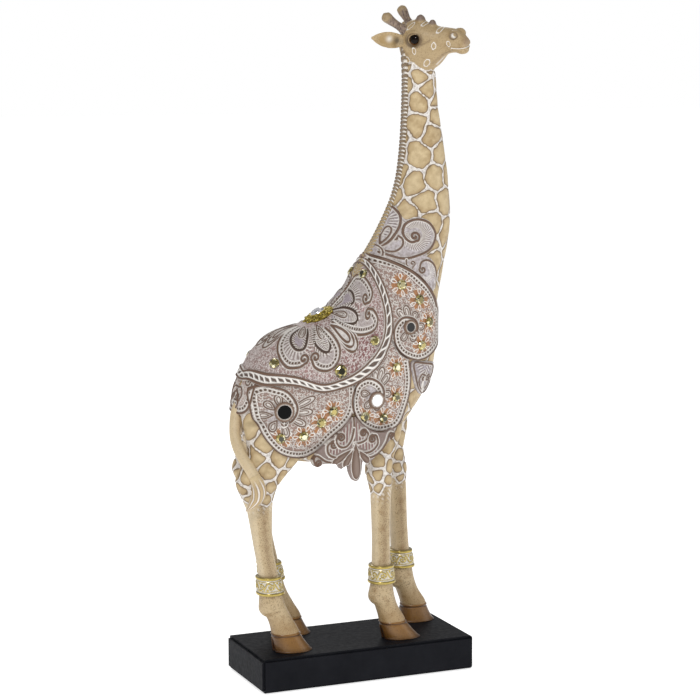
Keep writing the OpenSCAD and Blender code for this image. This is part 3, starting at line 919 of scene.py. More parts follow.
def carve_head(points, normals):
    """Eye sockets, nostrils, mouth and cheeks, pressed into the head's surface."""
    p = in_head(points)
    x, y, z = p[:, 0], np.abs(p[:, 1]), p[:, 2]
    on = (z > HEAD_FOOT) & (np.linalg.norm(p - [12, 0, 484], axis=1) < 60)
    depth = np.zeros(len(p))
    eye = np.linalg.norm(np.stack([x - EYE[0], (y - EYE[1]) * 0.5, z - EYE[2]], 1), axis=1)
    depth -= 2.0 * np.exp(-(eye / 4.6) ** 4) * (y > 5)
    depth += 1.0 * np.exp(-((eye - 5.9) / 1.0) ** 2) * (y > 5)
    nostril = nostril_reach(x, z)
    depth -= 2.0 * np.exp(-nostril**4) * (y > 3)
    depth += 0.8 * np.exp(-((nostril - 1.6) / 0.4) ** 2) * (y > 3)
    depth -= 0.9 * np.exp(-((z - mouth_height(x)) / 0.7) ** 2) * smoothstep(28, 31, x)
    cheek = (z - 482 - 0.16 * (x - 15)) / 2.2
    depth -= 0.7 * np.exp(-cheek**2) * smoothstep(8, 14, x) * smoothstep(30, 24, x) * (y > 4)
    return points + normals * (depth * on)[:, None]


def make_body():
    """The fused casting's mesh and its smooth base points."""
    solids = [body_solid()] + [leg_solid(leg) for leg in LEGS.values()] + head_solids()
    solids += [ball(leg_centre(leg, 62.0)[0] - [3.2, 0, 0], [7.6, 7.4, 7.5]) for leg in LEGS.values()]
    mesh = remeshed("casting", solids, BODY_VOXEL)
    points, edges = points_of(mesh), read_layer(mesh.edges, "vertices", 2, np.int32)
    scale = (0.7 / BODY_VOXEL) ** 2
    points = relax(points, edges, max(3, int(10 * scale)))
    hips = smoothstep(158, 172, points[:, 2]) * smoothstep(222, 200, points[:, 2])
    nape = np.exp(-(np.linalg.norm(points - on_head([-4, 0, 470]), axis=1) / 16) ** 2)
    points = relax(points, edges, int(90 * scale), np.clip(hips + nape * 0.6, 0, 1))
    return mesh, points


def seeds_on(points, spacing, rounds=3):
    """Evenly scattered seed points over a surface, spacing given per point."""
    order = rng.permutation(len(points))[:: max(1, len(points) // 30000)]
    seeds = np.empty((0, 3))
    for i in order:
        if not len(seeds) or (np.linalg.norm(seeds - points[i], axis=1) > spacing[i]).all():
            seeds = np.vstack([seeds, points[i]])
    sample = points[order]
    for _ in range(rounds):
        owner = np.argmin(((sample[:, None] - seeds[None]) ** 2).sum(-1), 1)
        total = np.stack([np.bincount(owner, sample[:, k], len(seeds)) for k in range(3)], 1)
        seeds = total / np.maximum(np.bincount(owner, minlength=len(seeds)), 1)[:, None]
    return seeds


def cell_edges(points, seeds, size):
    """Distance from each point to its patch's edge, and a tone for each patch."""
    edge, tone = np.empty(len(points)), np.empty(len(points))
    tones = rng.random(len(seeds))
    for start in range(0, len(points), 20000):
        part = points[start:start + 20000]
        wobble = 0.8 * np.sin(part[:, [2, 0, 1]] * 0.45) + 0.22 * np.sin(part[:, [1, 2, 0]] * 1.1)
        d = np.linalg.norm((part + wobble)[:, None] - seeds[None], axis=-1)
        near = np.partition(d, 2, axis=1)[:, :3]
        first, second, third = near[:, 0], near[:, 1], near[:, 2]
        corner = 1.1 * np.exp(-((third - first) / (0.2 * size)) ** 2)
        ragged = 0.28 * np.sin(part @ [0.42, 0.8, 0.36]) + 0.16 * np.sin(part @ [-1.3, 0.9, 1.1])
        edge[start:start + 20000] = (second - first) / 2 - corner - ragged
        tone[start:start + 20000] = tones[np.argmin(d, 1)]
    return edge, tone


HEAD_OVALS = [  # x and z of the centre, half length, half width, lean in degrees
    (2.3, 480.8, 2.6, 1.4, 88), (-4.7, 473.6, 2.4, 1.7, 120), (10.9, 471.2, 3.2, 1.8, 55),
    (17.4, 484, 2.6, 1.5, 80), (28.6, 485, 2.2, 1.4, 95), (20.9, 495, 2.3, 1.5, 40),
    (8.8, 500, 2.4, 1.2, 30), (-1.5, 498.6, 3.4, 1.2, 40),
]
PLAIN_BELOW = 145.0
GROOVE, EDGE_SPAN = 0.62, 4.0
PATCH_HEIGHTS = [145, 165, 200, 240, 380, 440, 470]
PATCH_SPACING = [6.5, 9.5, 14, 16, 14.5, 12, 9]
FAR = 9.0


def head_marks(points):
    """Signed distance to the pale outlines of the head's ovals and its mouth."""
    p = in_head(points)
    x, z = p[:, 0], p[:, 2]
    mark = np.full(len(p), FAR)
    for cx, cz, long, short, lean in HEAD_OVALS:
        c, s = math.cos(math.radians(lean)), math.sin(math.radians(lean))
        u, v = (x - cx) * c + (z - cz) * s, -(x - cx) * s + (z - cz) * c
        ragged = 0.25 * np.sin(2.3 * x + 1.1 * z) * np.sin(1.7 * z - 0.9 * x)
        mark = np.minimum(mark, (np.hypot(u / long, v / short) - 1) * (long + short) / 2 + ragged)
    mouth = z - mouth_height(x) + 0.5
    mark = np.where((x > 29.5) & (np.abs(mouth) < 2) & (z < 487), mouth, mark)
    return mark


def casting_relief(points, normals, head_tree):
    """Patches with grooves on the neck, body and upper legs; plain below the knees and on the head."""
    z = points[:, 2]
    body = z > PLAIN_BELOW - 12
    spacing = np.interp(z, PATCH_HEIGHTS, PATCH_SPACING)
    sample = np.flatnonzero(body & (z < 474))
    seeds = seeds_on(points[sample], spacing[sample])
    low = seeds[:, 2] < PLAIN_BELOW
    plain_seeds, seeds = seeds[low], seeds[~low]
    edge, tone = np.full(len(points), FAR), np.full(len(points), 0.5)
    edge[body], tone[body] = cell_edges(points[body], seeds, 14.0)
    legs = np.flatnonzero((z < 172) & body)
    own = np.linalg.norm(points[legs, None] - seeds[None], axis=-1).min(1)
    foot = np.linalg.norm(points[legs, None] - plain_seeds[None], axis=-1).min(1)
    edge[legs] = np.where(own < foot, np.minimum(edge[legs], (foot - own) / 2), (foot - own) / 2)
    edge[legs] = np.where(own < foot, edge[legs], np.maximum((own - foot) / 2, 0))
    plain = np.zeros(len(points))
    plain[legs] = own >= foot
    plain[~body] = 1
    edge[~body] = FAR
    top = np.flatnonzero(z > 455)
    gap = np.array([head_tree.find_nearest(Vector(q))[3] for q in points[top]])
    head = gap < 0.9
    edge[top] = np.where(head, FAR, np.minimum(edge[top], gap - 1.2))
    plain[top[head]] = 1
    raised = 0.5 * smoothstep(GROOVE - 0.5, GROOVE + 0.35, edge) + 0.2 * smoothstep(1.5, 5, edge)
    return points + normals * (raised - 0.35)[:, None], edge, tone, plain


def split(name, mesh_faces, points, inside, extra, caps):
    """One closed piece of the casting: its faces, and a fan over each opening."""
    faces = mesh_faces[inside]
    used, corners = np.unique(faces, return_inverse=True)
    faces = corners.reshape(faces.shape)
    p = points[used]
    rim = open_edges(faces)
    fans, middles = [], []
    which = caps(p[rim].mean(1))
    for k in np.unique(which):
        mine = rim[which == k]
        middles.append(p[mine].mean((0, 1)))
        hub = len(p) + len(middles) - 1
        fans.append(np.stack([mine[:, 1], mine[:, 0], np.full(len(mine), hub)], 1))
    fans = np.concatenate(fans)
    mesh = make_mesh(name, np.vstack([p, middles]), list(faces) + list(fans))
    for key, values in extra.items():
        pad = np.repeat(values[used][:1], len(middles), axis=0)
        set_attribute(mesh, key, np.concatenate([values[used], pad]))
    return mesh, used


def keep_normals(thing, normals, used, outer_faces):
    """Gives a cut piece the uncut casting's normals, so that no seam shows."""
    loops = outer_faces * 4
    corner = corners_of(thing.data)
    split_normals = np.zeros((len(corner), 3))
    split_normals[:loops] = normals[used][corner[:loops]]
    thing.data.normals_split_custom_set(split_normals)


def resin_material(name):
    """Painted cast resin: tan patches, thin brown outlines, washed grooves and speckle."""
    n = Nodes(name)
    edge, plain = n.attribute("edge"), n.attribute("plain")
    fine, broad = n.noise(1.6, 3), n.noise(0.16, 4)
    tan = n.blend(TAN_DARK, TAN, n.ramp(broad, (0.32, 0), (0.62, 1)))
    tan = n.blend(tan, linear("d3bf98"), n.math("MULTIPLY", n.attribute("tone"), 0.6))
    gap, brink = n.math("DIVIDE", edge, EDGE_SPAN), GROOVE / EDGE_SPAN
    tan = n.blend(tan, linear("9a7b50"), n.ramp(gap, (brink + 0.1, 0.6), (0.95, 0)))
    tan = n.blend(tan, linear("94794f"), n.over(0.58, 0.72, 0.45, fine))
    wash = n.blend(WASH, linear("a79c94"), n.ramp(n.noise(0.6, 4), (0.42, 0), (0.72, 0.85)))
    outline = n.ramp(gap, (brink - 0.02, 0), (brink + 0.06, 1), (brink + 0.12, 0.75), (brink + 0.26, 0))
    colour = n.blend(tan, LINE_DARK, n.math("MULTIPLY", outline, 0.72))
    colour = n.blend(colour, wash, n.ramp(gap, (brink - 0.04, 1), (brink + 0.03, 0)))
    bare = n.blend(linear("c2ac87"), linear("a0855e"), n.ramp(broad, (0.5, 0), (0.75, 1)))
    bare = n.blend(bare, linear("6f5838"), n.over(0.55, 0.66, 0.75, n.noise(1.1, 2)))
    bare = n.blend(bare, n.attribute("paint", True), n.attribute("painted"))
    colour = n.blend(colour, bare, n.math("MULTIPLY", plain, n.math("GREATER_THAN", edge, 0.8)))
    mark = n.math("ABSOLUTE", n.attribute("mark"))
    colour = n.blend(colour, linear("e2ddd6"), n.ramp(mark, (0.2, 0.95), (0.4, 0)))
    n.bump(fine, 0.12, 0.3)
    return n.surface(base_color=colour, roughness=n.ramp(n.noise(0.7, 3), (0.3, 0.42), (0.7, 0.6)))


LEG_CUT, HEAD_CUT, NECK_STATION = 162.0, 460.5, 11.0
NECK_FOOT, ABOVE_LEG_CUTS, ABOVE_NECK_CUT = 220.0, 170.0, 400.0
REGIONS = ["foreleg_right", "foreleg_left", "hindleg_right", "hindleg_left", "torso", "neck", "head"]
TORSO, NECK_REGION, HEAD_REGION = 4, 5, 6


def region_of(middle):
    """Number of the CAD piece that each face of the casting belongs to, from the face's middle."""
    neck_low, neck_high = skin(NECK_STATION, 180.0), skin(NECK_STATION, 0.0)
    across = np.cross(neck_high - neck_low, [0, 1, 0])
    above = (middle - neck_low) @ across * np.sign(across[2]) > 0
    neck_or_torso = np.where(above & (middle[:, 2] > NECK_FOOT), NECK_REGION, TORSO)
    region = np.where(middle[:, 2] > HEAD_CUT, HEAD_REGION, neck_or_torso)
    leg = np.where(middle[:, 0] > FORE_AFT, 0, 2) + (middle[:, 1] >= BODY_Y)
    return np.where(middle[:, 2] < LEG_CUT, leg, region)


def opening_of(p):
    """Number of the cut that each rim edge lies on."""
    low = np.where(p[:, 0] > FORE_AFT, 0, 2) + (p[:, 1] > BODY_Y)
    neck_or_head = np.where(p[:, 2] < ABOVE_NECK_CUT, NECK_REGION, HEAD_REGION)
    return np.where(p[:, 2] < ABOVE_LEG_CUTS, low, neck_or_head)


def build_casting():
    """The painted body, legs and head, cut into the CAD's pieces; returns its search tree."""
    head_tree = BVHTree.FromPolygons(*[list(map(tuple, q)) for q in joined(*head_solids())])
    mesh, base = make_body()
    set_points(mesh, base)
    faces = corners_of(mesh).reshape(-1, 4)
    tree = BVHTree.FromPolygons(base.tolist(), faces.tolist())
    points, edge, tone, plain = casting_relief(base, normals_of(mesh), head_tree)
    set_points(mesh, points)
    points = carve_head(points, normals_of(mesh))
    set_points(mesh, points)
    normals = normals_of(mesh)
    mark = np.where(points[:, 2] > HEAD_FOOT, head_marks(points), FAR)
    paint, painted = casting_colours(points)
    extra = {"edge": edge, "tone": tone, "plain": plain, "mark": mark, "paint": paint, "painted": painted}
    region = region_of(points[faces].mean(1))
    material = resin_material("painted_resin")
    for i, name in enumerate(REGIONS):
        inside = region == i
        part, used = split(name + "_casting", faces, points, inside, extra, opening_of)
        thing = add_piece(name + "_casting", part, material, [name])
        keep_normals(thing, normals, used, inside.sum())
    return tree


def crease(x, z, start, end, width):
    """Soft line between two points of the head's side view, 1 along its middle."""
    way = np.subtract(end, start).astype(float)
    s = np.clip(((x - start[0]) * way[0] + (z - start[1]) * way[1]) / (way @ way), 0, 1)
    gap = np.hypot(x - start[0] - s * way[0], z - start[1] - s * way[1])
    return np.exp(-(gap / width) ** 2)


# the soft lines are dark paint along the head's creases: painted shade
HEAD_CREASES = [  # start, end, width and depth of the soft lines in the head's side view
    ((8.5, 485), (15, 488.5), 0.6, 0.5), ((31, 480), (22, 476.5), 0.6, 0.45),
    ((-6, 481), (-2, 473), 0.7, 0.3), ((22, 476), (14, 470), 0.8, 0.3),
    ((30, 481.5), (26, 484), 0.5, 0.35),
]
JAW_LINE = ((22.5, 474.5), (16, 468.6), 0.35)


class Coat:
    """Paint laid over the casting's plain areas, and how thick it lies."""

    def __init__(self, colour, painted):
        self.paint = np.broadcast_to(linear(colour), (len(painted), 3)).copy()
        self.painted = painted

    def lay(self, colour, share):
        """Adds a layer that covers a share of what lies under it."""
        total = share + self.painted * (1 - share)
        fresh = np.clip(share / np.maximum(total, 1e-6), 0, 1)
        self.paint = mix(self.paint, linear(colour), fresh)
        self.painted = np.maximum(self.painted, total)


def paint_legs(coat, points):
    """Brown streak down each shin, pale sides, and splashes of wash under the patches."""
    z = points[:, 2]
    for name, leg in LEGS.items():
        own_side = (points[:, 1] > BODY_Y) == (leg[2] == LEFT)
        own_end = (points[:, 0] > FORE_AFT) == name.startswith("fore")
        rows = np.flatnonzero((z < 150) & own_side & own_end)
        height = z[rows]
        across = points[rows, 0] - leg_centre(leg, height)[0][:, 0]
        grain = np.sin(2.9 * height + 2.7 * across) * np.sin(1.3 * height - 3.3 * across)
        streak = np.exp(-(across / 2.2) ** 2) * (0.65 + 0.5 * grain)
        share = np.zeros(len(points))
        share[rows] = 0.75 * streak * smoothstep(76, 90, height)
        coat.lay("7d6240", share)
        share[rows] = 0.5 * smoothstep(3.5, 6.0, np.abs(across)) * smoothstep(70, 90, height)
        coat.lay("e0cfae", share)
    splash = np.sin(1.3 * points[:, 0] + 0.8 * z) * np.sin(0.9 * z + 1.1 * points[:, 1] + 1)
    below_patches = smoothstep(133, 142, z) * (z < PLAIN_BELOW + 2)
    coat.lay("e6e0d8", 0.6 * smoothstep(0.25, 0.7, splash) * below_patches)


def paint_head(coat, points):
    """Tint, crest, eye sockets, lips, nostrils, creases and jaw of the head."""
    p = in_head(points)
    x, y, z = p[:, 0], np.abs(p[:, 1]), p[:, 2]
    on = points[:, 2] > HEAD_FOOT
    cheek = (y > 3) * on
    coat.lay("9c8258", 0.5 * on)
    bumps = np.maximum(smoothstep(5.2, 3.2, np.linalg.norm(p - CREST_BUMP, axis=1)),
                       smoothstep(4.2, 2.6, np.linalg.norm(p - BROW_BUMP, axis=1)))
    coat.lay("7a685c", bumps * on)
    socket = np.linalg.norm((p - [2.4, 0, 488.6]) * [0.9, 0, 1.15], axis=1)
    coat.lay("4f3a22", 0.85 * smoothstep(8.2, 4.8, socket) * (y > 5) * on)
    coat.lay("a08779", 0.5 * smoothstep(38, 42, x) * smoothstep(481, 486, z) * on)
    nostril = nostril_reach(x, z)
    coat.lay("5b4630", 0.8 * np.exp(-((nostril - 1.35) / 0.35) ** 2) * cheek)
    hole = nostril_reach(x - 0.9, z - 0.5)
    coat.lay("e8e4dd", smoothstep(1.0, 0.8, nostril) * smoothstep(0.5, 0.75, hole) * cheek)
    # painted shade along the head's creases
    for start, end, width, depth in HEAD_CREASES:
        coat.lay("5e4830", depth * crease(x, z, start, end, width) * cheek)
    coat.lay("e2ddd6", 0.7 * crease(x, z, *JAW_LINE) * cheek)


def casting_colours(points):
    """Paint laid over the plain areas, and how thick it lies."""
    coat = Coat("9a7644", 0.5 * smoothstep(62, 44, points[:, 2]))
    paint_legs(coat, points)
    paint_head(coat, points)
    return coat.paint, coat.painted


body_tree = build_casting()

# ---------------------------------------------------------------- ornament drawings


def resampled(line, step):
    """Points at even spacing along a line."""
    line = np.asarray(line, float)
    run = run_along(line)
    return along_line(line, run, np.linspace(0, run[-1], max(2, int(run[-1] / step) + 1)))


def inset(line, distance):
    """The line moved to its left by a distance."""
    way = unit(np.gradient(np.asarray(line, float), axis=0) + 1e-9)
    return line + distance * left_of(way)


BORDER = (1.9, 1.3)
BEADS = (2.7, 0.98, 0.6)
PALE_ROW, BEAD_ROW, OUTER_ROW, RIM_ROW = 1.75, 3.2, 4.7, 5.3


def draw_border(canvas, line, hand=1):
    """Thick brown line with fine pale lines and a row of beads beside it."""
    canvas.stroke(inset(line, BEAD_ROW * hand), 2.6, 0.1, WASH, 0)
    canvas.stroke(line, *BORDER)
    canvas.stroke(inset(line, PALE_ROW * hand), 0.55, 0.6, WASH, 0)
    canvas.stroke(inset(line, OUTER_ROW * hand), 0.5, 0.5, WASH, 0)
    canvas.stroke(inset(line, RIM_ROW * hand), 0.35, 0.2, LINE, 0)
    canvas.beads(inset(line, BEAD_ROW * hand), *BEADS, BEAD)


def draw_hatch(canvas, line, reach, hand=1, spacing=1.1, lean=0.6):
    """Fine curved lines combed away from a line."""
    spots = resampled(line, spacing)
    way = unit(np.gradient(spots, axis=0))
    out = hand * left_of(way)
    for k, (p, w, o) in enumerate(zip(spots, way, out)):
        r = reach * rng.uniform(0.8, 1.05)
        bend = curve([p + o, p + o * r * 0.6 + w * lean, p + o * r + w * lean * 2.6], count=4)
        canvas.stroke(bend, 0.6, 0.4, LINE if k % 2 else WASH, 0)


def draw_nested_leaves(canvas, base, tip, width, count=3):
    """Leaf outlines inside each other."""
    base, tip = np.asarray(base, float), np.asarray(tip, float)
    for k in range(count):
        share = 1 - k / count * 0.75
        leaf = petal(base, base + (tip - base) * (0.35 + 0.65 * share), width * share)
        canvas.fill(leaf, mix(WASH, LAVENDER, 0.2), 1.0, 0.2)
        canvas.stroke(leaf, 1.8, 1.1, closed=True, halo=0.7)


SADDLE_EDGE = [(-71, -2), (-70, 4), (-63, 19), (-48, 37), (-17, 58), (4, 63), (26, 66), (41, 63),
               (48, 53), (51, 38), (52, 22), (54, 2), (54, -2)]
BORDER_EDGE = [(-78, -2), (-77, 7), (-66, 27), (-49, 45), (-17, 65), (4, 71), (26, 77), (40, 77),
               (51, 68), (57, 55), (59, 41), (60, 24), (60, -2)]
# Lobes of the saddle's flower: outline, side it curls to, feathered arch, inner loop
LOBES = [
    ([(8, 0), (38, 1), (45, 8), (47, 20), (46, 28), (41, 31), (36, 29)], 1,
     [(13, 1), (25, 1), (30, 6), (29, 15), (25, 19), (15, 12)], [(11, 4), (22, 6)]),
    ([(3, 19), (8, 29), (19, 40), (29, 47), (38, 50), (43, 46), (41, 38), (37, 34)], -1,
     [(10, 7), (18, 16), (24, 26), (24, 32), (19, 32), (10, 25), (4, 17)], [(7, 10), (16, 23)]),
    ([(-4, 21), (0, 30), (3, 40), (1, 48), (-5, 52), (-12, 51), (-19, 46), (-21, 40)], 1,
     [(-12, 17), (-16, 28), (-12, 36), (-7, 39), (-4, 35), (-5, 28), (-8, 18)], [(-9, 14), (-9, 28)]),
    ([(-22, 2), (-35, 10), (-43, 18), (-45, 27), (-41, 37), (-32, 42), (-26, 41)], -1,
     [(-18, 9), (-29, 15), (-33, 22), (-31, 29), (-25, 30), (-20, 22), (-17, 14)], [(-17, 9), (-25, 21)]),
]


def draw_lobe(canvas, outline, hand, arch, loop):
    """Lobe with a curled, beaded edge round a feathered arch and an inner loop."""
    path = volute(outline, 3.4, 1.15, hand)
    canvas.fill(curve(outline), linear("c9c0bf"))
    canvas.fill(curve([*arch, arch[0]]), linear("bbb0ba"))
    arch_line = curve(arch)
    draw_hatch(canvas, arch_line, 7.0, -hand, 0.85)
    canvas.stroke(arch_line, 2.3, 0.85, LINE)
    canvas.beads(arch_line, 1.3, 0.72, 1.15, LINE_DARK, 0)
    draw_hatch(canvas, arch_line, 3.0, hand, 1.1)
    canvas.loop(loop[0], loop[1], 6.2)
    canvas.beads([mix(np.array(loop[0], float), np.array(loop[1], float), 0.45), loop[1]], 1.6, 0.4, 0.6)
    along = curve(outline)
    canvas.stroke(inset(along, PALE_ROW * hand), 0.55, 0.6, WASH, 0)
    canvas.beads(inset(along, BEAD_ROW * hand), *BEADS, BEAD)
    canvas.stroke(inset(along, OUTER_ROW * hand), 0.5, 0.4, WASH, 0)
    canvas.stroke(path, *BORDER)


BACK_LOW, BACK_HIGH = (-82, -2), (64, 82)


def draw_saddle():
    """Flower of lobes and leaves round the brooch, on a ground of rose filigree."""
    canvas = Canvas(BACK_LOW, BACK_HIGH, ROSE)
    u, v = canvas.lattice()
    deep = np.exp(-(((u - 26) / 20) ** 2 + ((v - 54) / 15) ** 2))
    canvas.colour[:] = mix(linear("b18c8a"), linear("7d3340"), deep)
    rear = smoothstep(-25, -60, u) * np.ones_like(v)
    canvas.colour[:] = mix(canvas.colour, linear("b29c98"), rear * 0.7)
    canvas.filigree(np.ones(canvas.size, bool), 2.1, linear("ece2df"))
    for outline, hand, arch, loop in LOBES:
        draw_lobe(canvas, outline, hand, arch, loop)
    draw_nested_leaves(canvas, (1, 21), (18, 50), 13)
    draw_nested_leaves(canvas, (-20, 1), (-51, 7), 14)
    return canvas


BRAID_STATIONS = 63
STRAND_WAY = (0.25, 0.32, 0.68, 0.75)


def draw_braid():
    """Two ridges with slanting strands twisted between them."""
    canvas = Canvas(BACK_LOW, BACK_HIGH, WASH)
    edges = []
    for keys in (SADDLE_EDGE, BORDER_EDGE):
        line = resampled(curve(keys), 0.1)
        edges.append(line[np.linspace(0, len(line) - 1, BRAID_STATIONS).astype(int)])
    inner, outer = edges
    canvas.stroke(mix(inner, outer, 0.5), 4.6, 0.1, linear("4d3e34"), 0)
    for k in range(0, BRAID_STATIONS - 3, 2):
        strand = [mix(inner[k + i], outer[k + i], share) for i, share in enumerate(STRAND_WAY)]
        canvas.stroke(curve(strand, count=6), 1.7, 0.9, WASH, 0)
    for ridge, thread in ((0.12, 0.28), (0.88, 0.72)):
        canvas.stroke(mix(inner, outer, ridge), 1.7, 1.2)
        canvas.stroke(mix(inner, outer, thread), 0.6, 0.6, WASH, 0)
    outline = np.vstack([inner, outer[::-1]])
    return canvas, outline


# Outlines in the side view: each medallion's edge, its top and the curl that ends it
HAUNCH = [(-79, 227), (-79, 215), (-76, 201), (-70, 190), (-61, 181), (-49, 177), (-38, 177), (-28, 183),
          (-21, 191), (-12, 198), (-5, 206), (-2, 216), (-2, 231)]
HAUNCH_TOP = [(-14, 232), (-32, 231), (-60, 233), (-73, 237)]
HAUNCH_CURL = [(-71, 232), (-64, 231), (-56, 228), (-50, 221), (-48, 214), (-51, 207), (-57, 203)]
FLANK = [(-3, 224), (-4, 215), (-1, 206), (6, 198), (16, 193), (25, 192), (35, 195), (42, 204), (46, 217),
         (47, 231), (45, 245)]
FLANK_TOP = [(38, 252), (29, 262), (20, 251), (7, 240), (-4, 233)]
FLANK_CURL = [(1, 231), (9, 234), (17, 231), (22, 225), (22, 218), (18, 214)]
CHEST = [(22, 324), (33, 321), (44, 317), (56, 307), (67, 296), (75, 282), (77, 268), (76, 256), (68, 249),
         (59, 245), (50, 245), (39, 250), (33, 258), (32, 268), (36, 275), (42, 278), (50, 276), (53, 270),
         (50, 264)]
CHEST_BACK = [(38, 249), (29, 262), (27, 280), (25, 295), (21, 311), (19, 322)]
NECK = [(24, 324), (35, 320), (49, 313), (59, 305), (67, 296), (71, 300), (71, 314), (67, 321), (62, 324),
        (69, 330), (72, 339), (67, 349), (57, 353), (50, 351), (47, 353), (44, 361), (38, 351), (30, 336)]
PANEL_PETALS = [  # centre of a mirror, its rim's radius, tips of the petals round it
    ((-60, 211), 7.6, [(-69, 219), (-73, 210), (-67, 200), (-56, 195), (-43, 203), (-38, 212), (-36, 222),
                       (-62, 224)]),
    ((15, 222), 6.4, [(15, 239), (21, 240), (26, 235), (27, 221), (17, 211), (5, 223), (8, 213)]),
    ((47, 271), 5.2, [(37, 283), (43, 285), (51, 280), (57, 270), (49, 261), (40, 262)]),
]


def panel_seats():
    """Where the stones of the side panels sit in the side view."""
    return [skin(t, -phi)[[0, 2]] for t, phi in GEM_SEATS[1:5] + GEM_SEATS[8:]]


SIDE_LOW, SIDE_HIGH = (-94.0, 150.0), (84.0, 366.0)


def draw_side():
    """Relief of the haunch, flank, chest and neck as seen from the side."""
    canvas = Canvas(SIDE_LOW, SIDE_HIGH, PINK)
    neck = canvas.shape(curve(NECK, closed=True)) > 0
    canvas.colour[neck] = mix(WASH, LAVENDER, 0.7)
    seats = panel_seats()
    for p in seats:
        canvas.patch(p, 8.0, ORANGE, 5, rng.uniform(0, 1))
        canvas.patch(p + rng.uniform(-8, 8, 2), 4.0, ORANGE, 4, rng.uniform(0, 1))
    canvas.filigree(~neck)
    for p in seats:
        canvas.patch(p, 6.8, ORANGE, 6)
        canvas.flower(p, 8.2, 6, rng.uniform(0, 1))
    for centre, start, tips in PANEL_PETALS:
        canvas.fill(arc(centre, start + 2.5, 0, 360), mix(WASH, LAVENDER, 0.6), 0.9)
        for tip in tips:
            way = unit(np.subtract(tip, centre).astype(float))
            canvas.loop(centre + way * start * 0.7, np.asarray(tip) + way * 1.8, 7.0)
    draw_border(canvas, volute(HAUNCH[::-1] + HAUNCH_CURL, 2.5, 0.4, -1), -1)
    draw_border(canvas, volute(FLANK[::-1] + FLANK_CURL, 2.5, 0.4, -1), -1)
    draw_border(canvas, volute(CHEST, 2.5, 0.4, -1), -1)
    draw_neck(canvas)
    return canvas


def draw_neck(canvas):
    """Curls of the collar above the chest panel."""
    spiral = [(29, 326), (43, 322), (55, 324), (66, 329), (71, 339), (66, 348), (57, 351), (49, 348),
              (46, 342), (47, 337), (51, 334), (55, 335)]
    canvas.fan((55, 340), 5.0, 12.0, -190, 130, 36, 25, LINE)
    canvas.fan((55, 340), 5.0, 12.5, -194.5, 125.5, 36, 25)
    canvas.stroke(volute(spiral, 3.4, 1.2, 1), 2.0, 1.4)
    lower = [(71, 296), (72, 306), (70, 315), (64, 320), (58, 319), (56, 314)]
    canvas.fan((62, 311), 3.5, 8, -140, 60, 18, 20)
    canvas.stroke(volute(lower, 2.6, 1.1, 1), 1.7, 1.2)
    canvas.stroke(volute([(46, 321), (46, 317), (49, 314), (52, 317)], 1.8, 1.0, 1), 1.2, 0.9)
    canvas.stroke(volute([(30, 328), (38, 327), (44, 331), (45, 336), (42, 339)], 2.2, 1.1, 1), 1.6, 1.1)
    leaf = curve([(43, 361), (46, 354), (45, 347), (41, 340), (36, 334), (30, 330)])
    draw_hatch(canvas, leaf[6:-20], 6.5, -1, 1.3)
    canvas.stroke(leaf, 1.8, 1.3)
    canvas.stroke(petal((31, 332), (39, 345), 5), 1.2, 0.9, closed=True)
    canvas.stroke(arc((26, 327), 5.2, -50, 75), 1.2, 1.0)
    collar = curve([(22, 324), (35, 319.5), (49, 312.5), (59, 304.5), (68, 293), (72, 284)])
    canvas.stroke(collar, 2.6, 1.5)


# Body station and angle from the spine of each stone and mirror
GEM_SEATS = [(8.15, 16), (10, 66), (10.7, 90), (10.75, 111), (9.85, 108), (7.3, 74), (5.7, 77), (3.05, 45),
             (8.35, 96), (8.1, 112), (7.4, 118), (6.6, 107), (5.4, 96), (4.95, 103), (4.25, 115), (3, 112)]
MIRROR_SEATS = [(3.25, 91), (7.1, 101), (9.55, 90)]
MIRROR_RADII = [5.4, 4.6, 3.6]


def build_ornaments():
    """Saddle cloth, its braid, and the panels of both sides."""
    saddle = draw_saddle()
    saddle.inside = saddle.shape(curve(SADDLE_EDGE))
    braid, outline = draw_braid()
    braid.inside = braid.shape(outline)
    side_canvas = draw_side()
    closed = {
        "haunch_panel": HAUNCH + HAUNCH_TOP,
        "flank_panel": FLANK + FLANK_TOP,
        "chest_panel": CHEST[:11] + CHEST_BACK,
        "neck_scroll": NECK,
    }
    inside = {name: side_canvas.shape(curve(points, closed=True)) for name, points in closed.items()}
    for side, word in SIDES:
        back = BackSurface(side)
        plate("saddle_cloth_" + word, saddle, back, CLOTH, RELIEF, "cloth_resin",
              ["saddle_cloth"] if side == RIGHT else [])
        plate("saddle_braid_" + word, braid, back, CLOTH + 0.8, RELIEF, "border_resin",
              ["saddle_border"] if side == RIGHT else [])
        surface = SideSurface(SIDE_LOW, SIDE_HIGH, side, 0.0, body_tree)
        for name in closed:
            side_canvas.inside = inside[name]
            plate(f"{name}_{word}_relief", side_canvas, surface, CLOTH * 0.7, RELIEF, "panel_resin",
                  [f"{name}_{word}"])


build_ornaments()


# ---------------------------------------------------------------- flap and tassels

FLAP = [(-45, 241), (-48, 235), (-50.5, 229), (-57, 223), (-60, 216), (-56, 211), (-48, 209), (-40, 211),
        (-36, 218), (-34, 227), (-31, 238), (-35, 244)]
FLAP_AZIMUTH, BELLY_REACH = -50.0, 34.6
CHEST_TASSEL = [(48, 244), (60, 243), (73, 240), (74, 233), (72, 229), (72, 224), (67, 218), (59, 217),
                (53, 223), (49, 233)]
BELLY_TASSEL = [(-4, 206), (-13, 197), (-23, 189), (-32, 181), (-37, 175), (-34, 170), (-28, 171.5),
                (-18, 171), (-14, 167), (-9, 170), (-7, 163), (-4, 157.5), (0, 157.5), (2.5, 163), (4, 172),
                (8, 169), (12, 172), (16, 176), (23, 182), (30, 190), (29, 195), (22, 192), (12, 194),
                (3, 200)]
TAUPE = linear("8a776c")


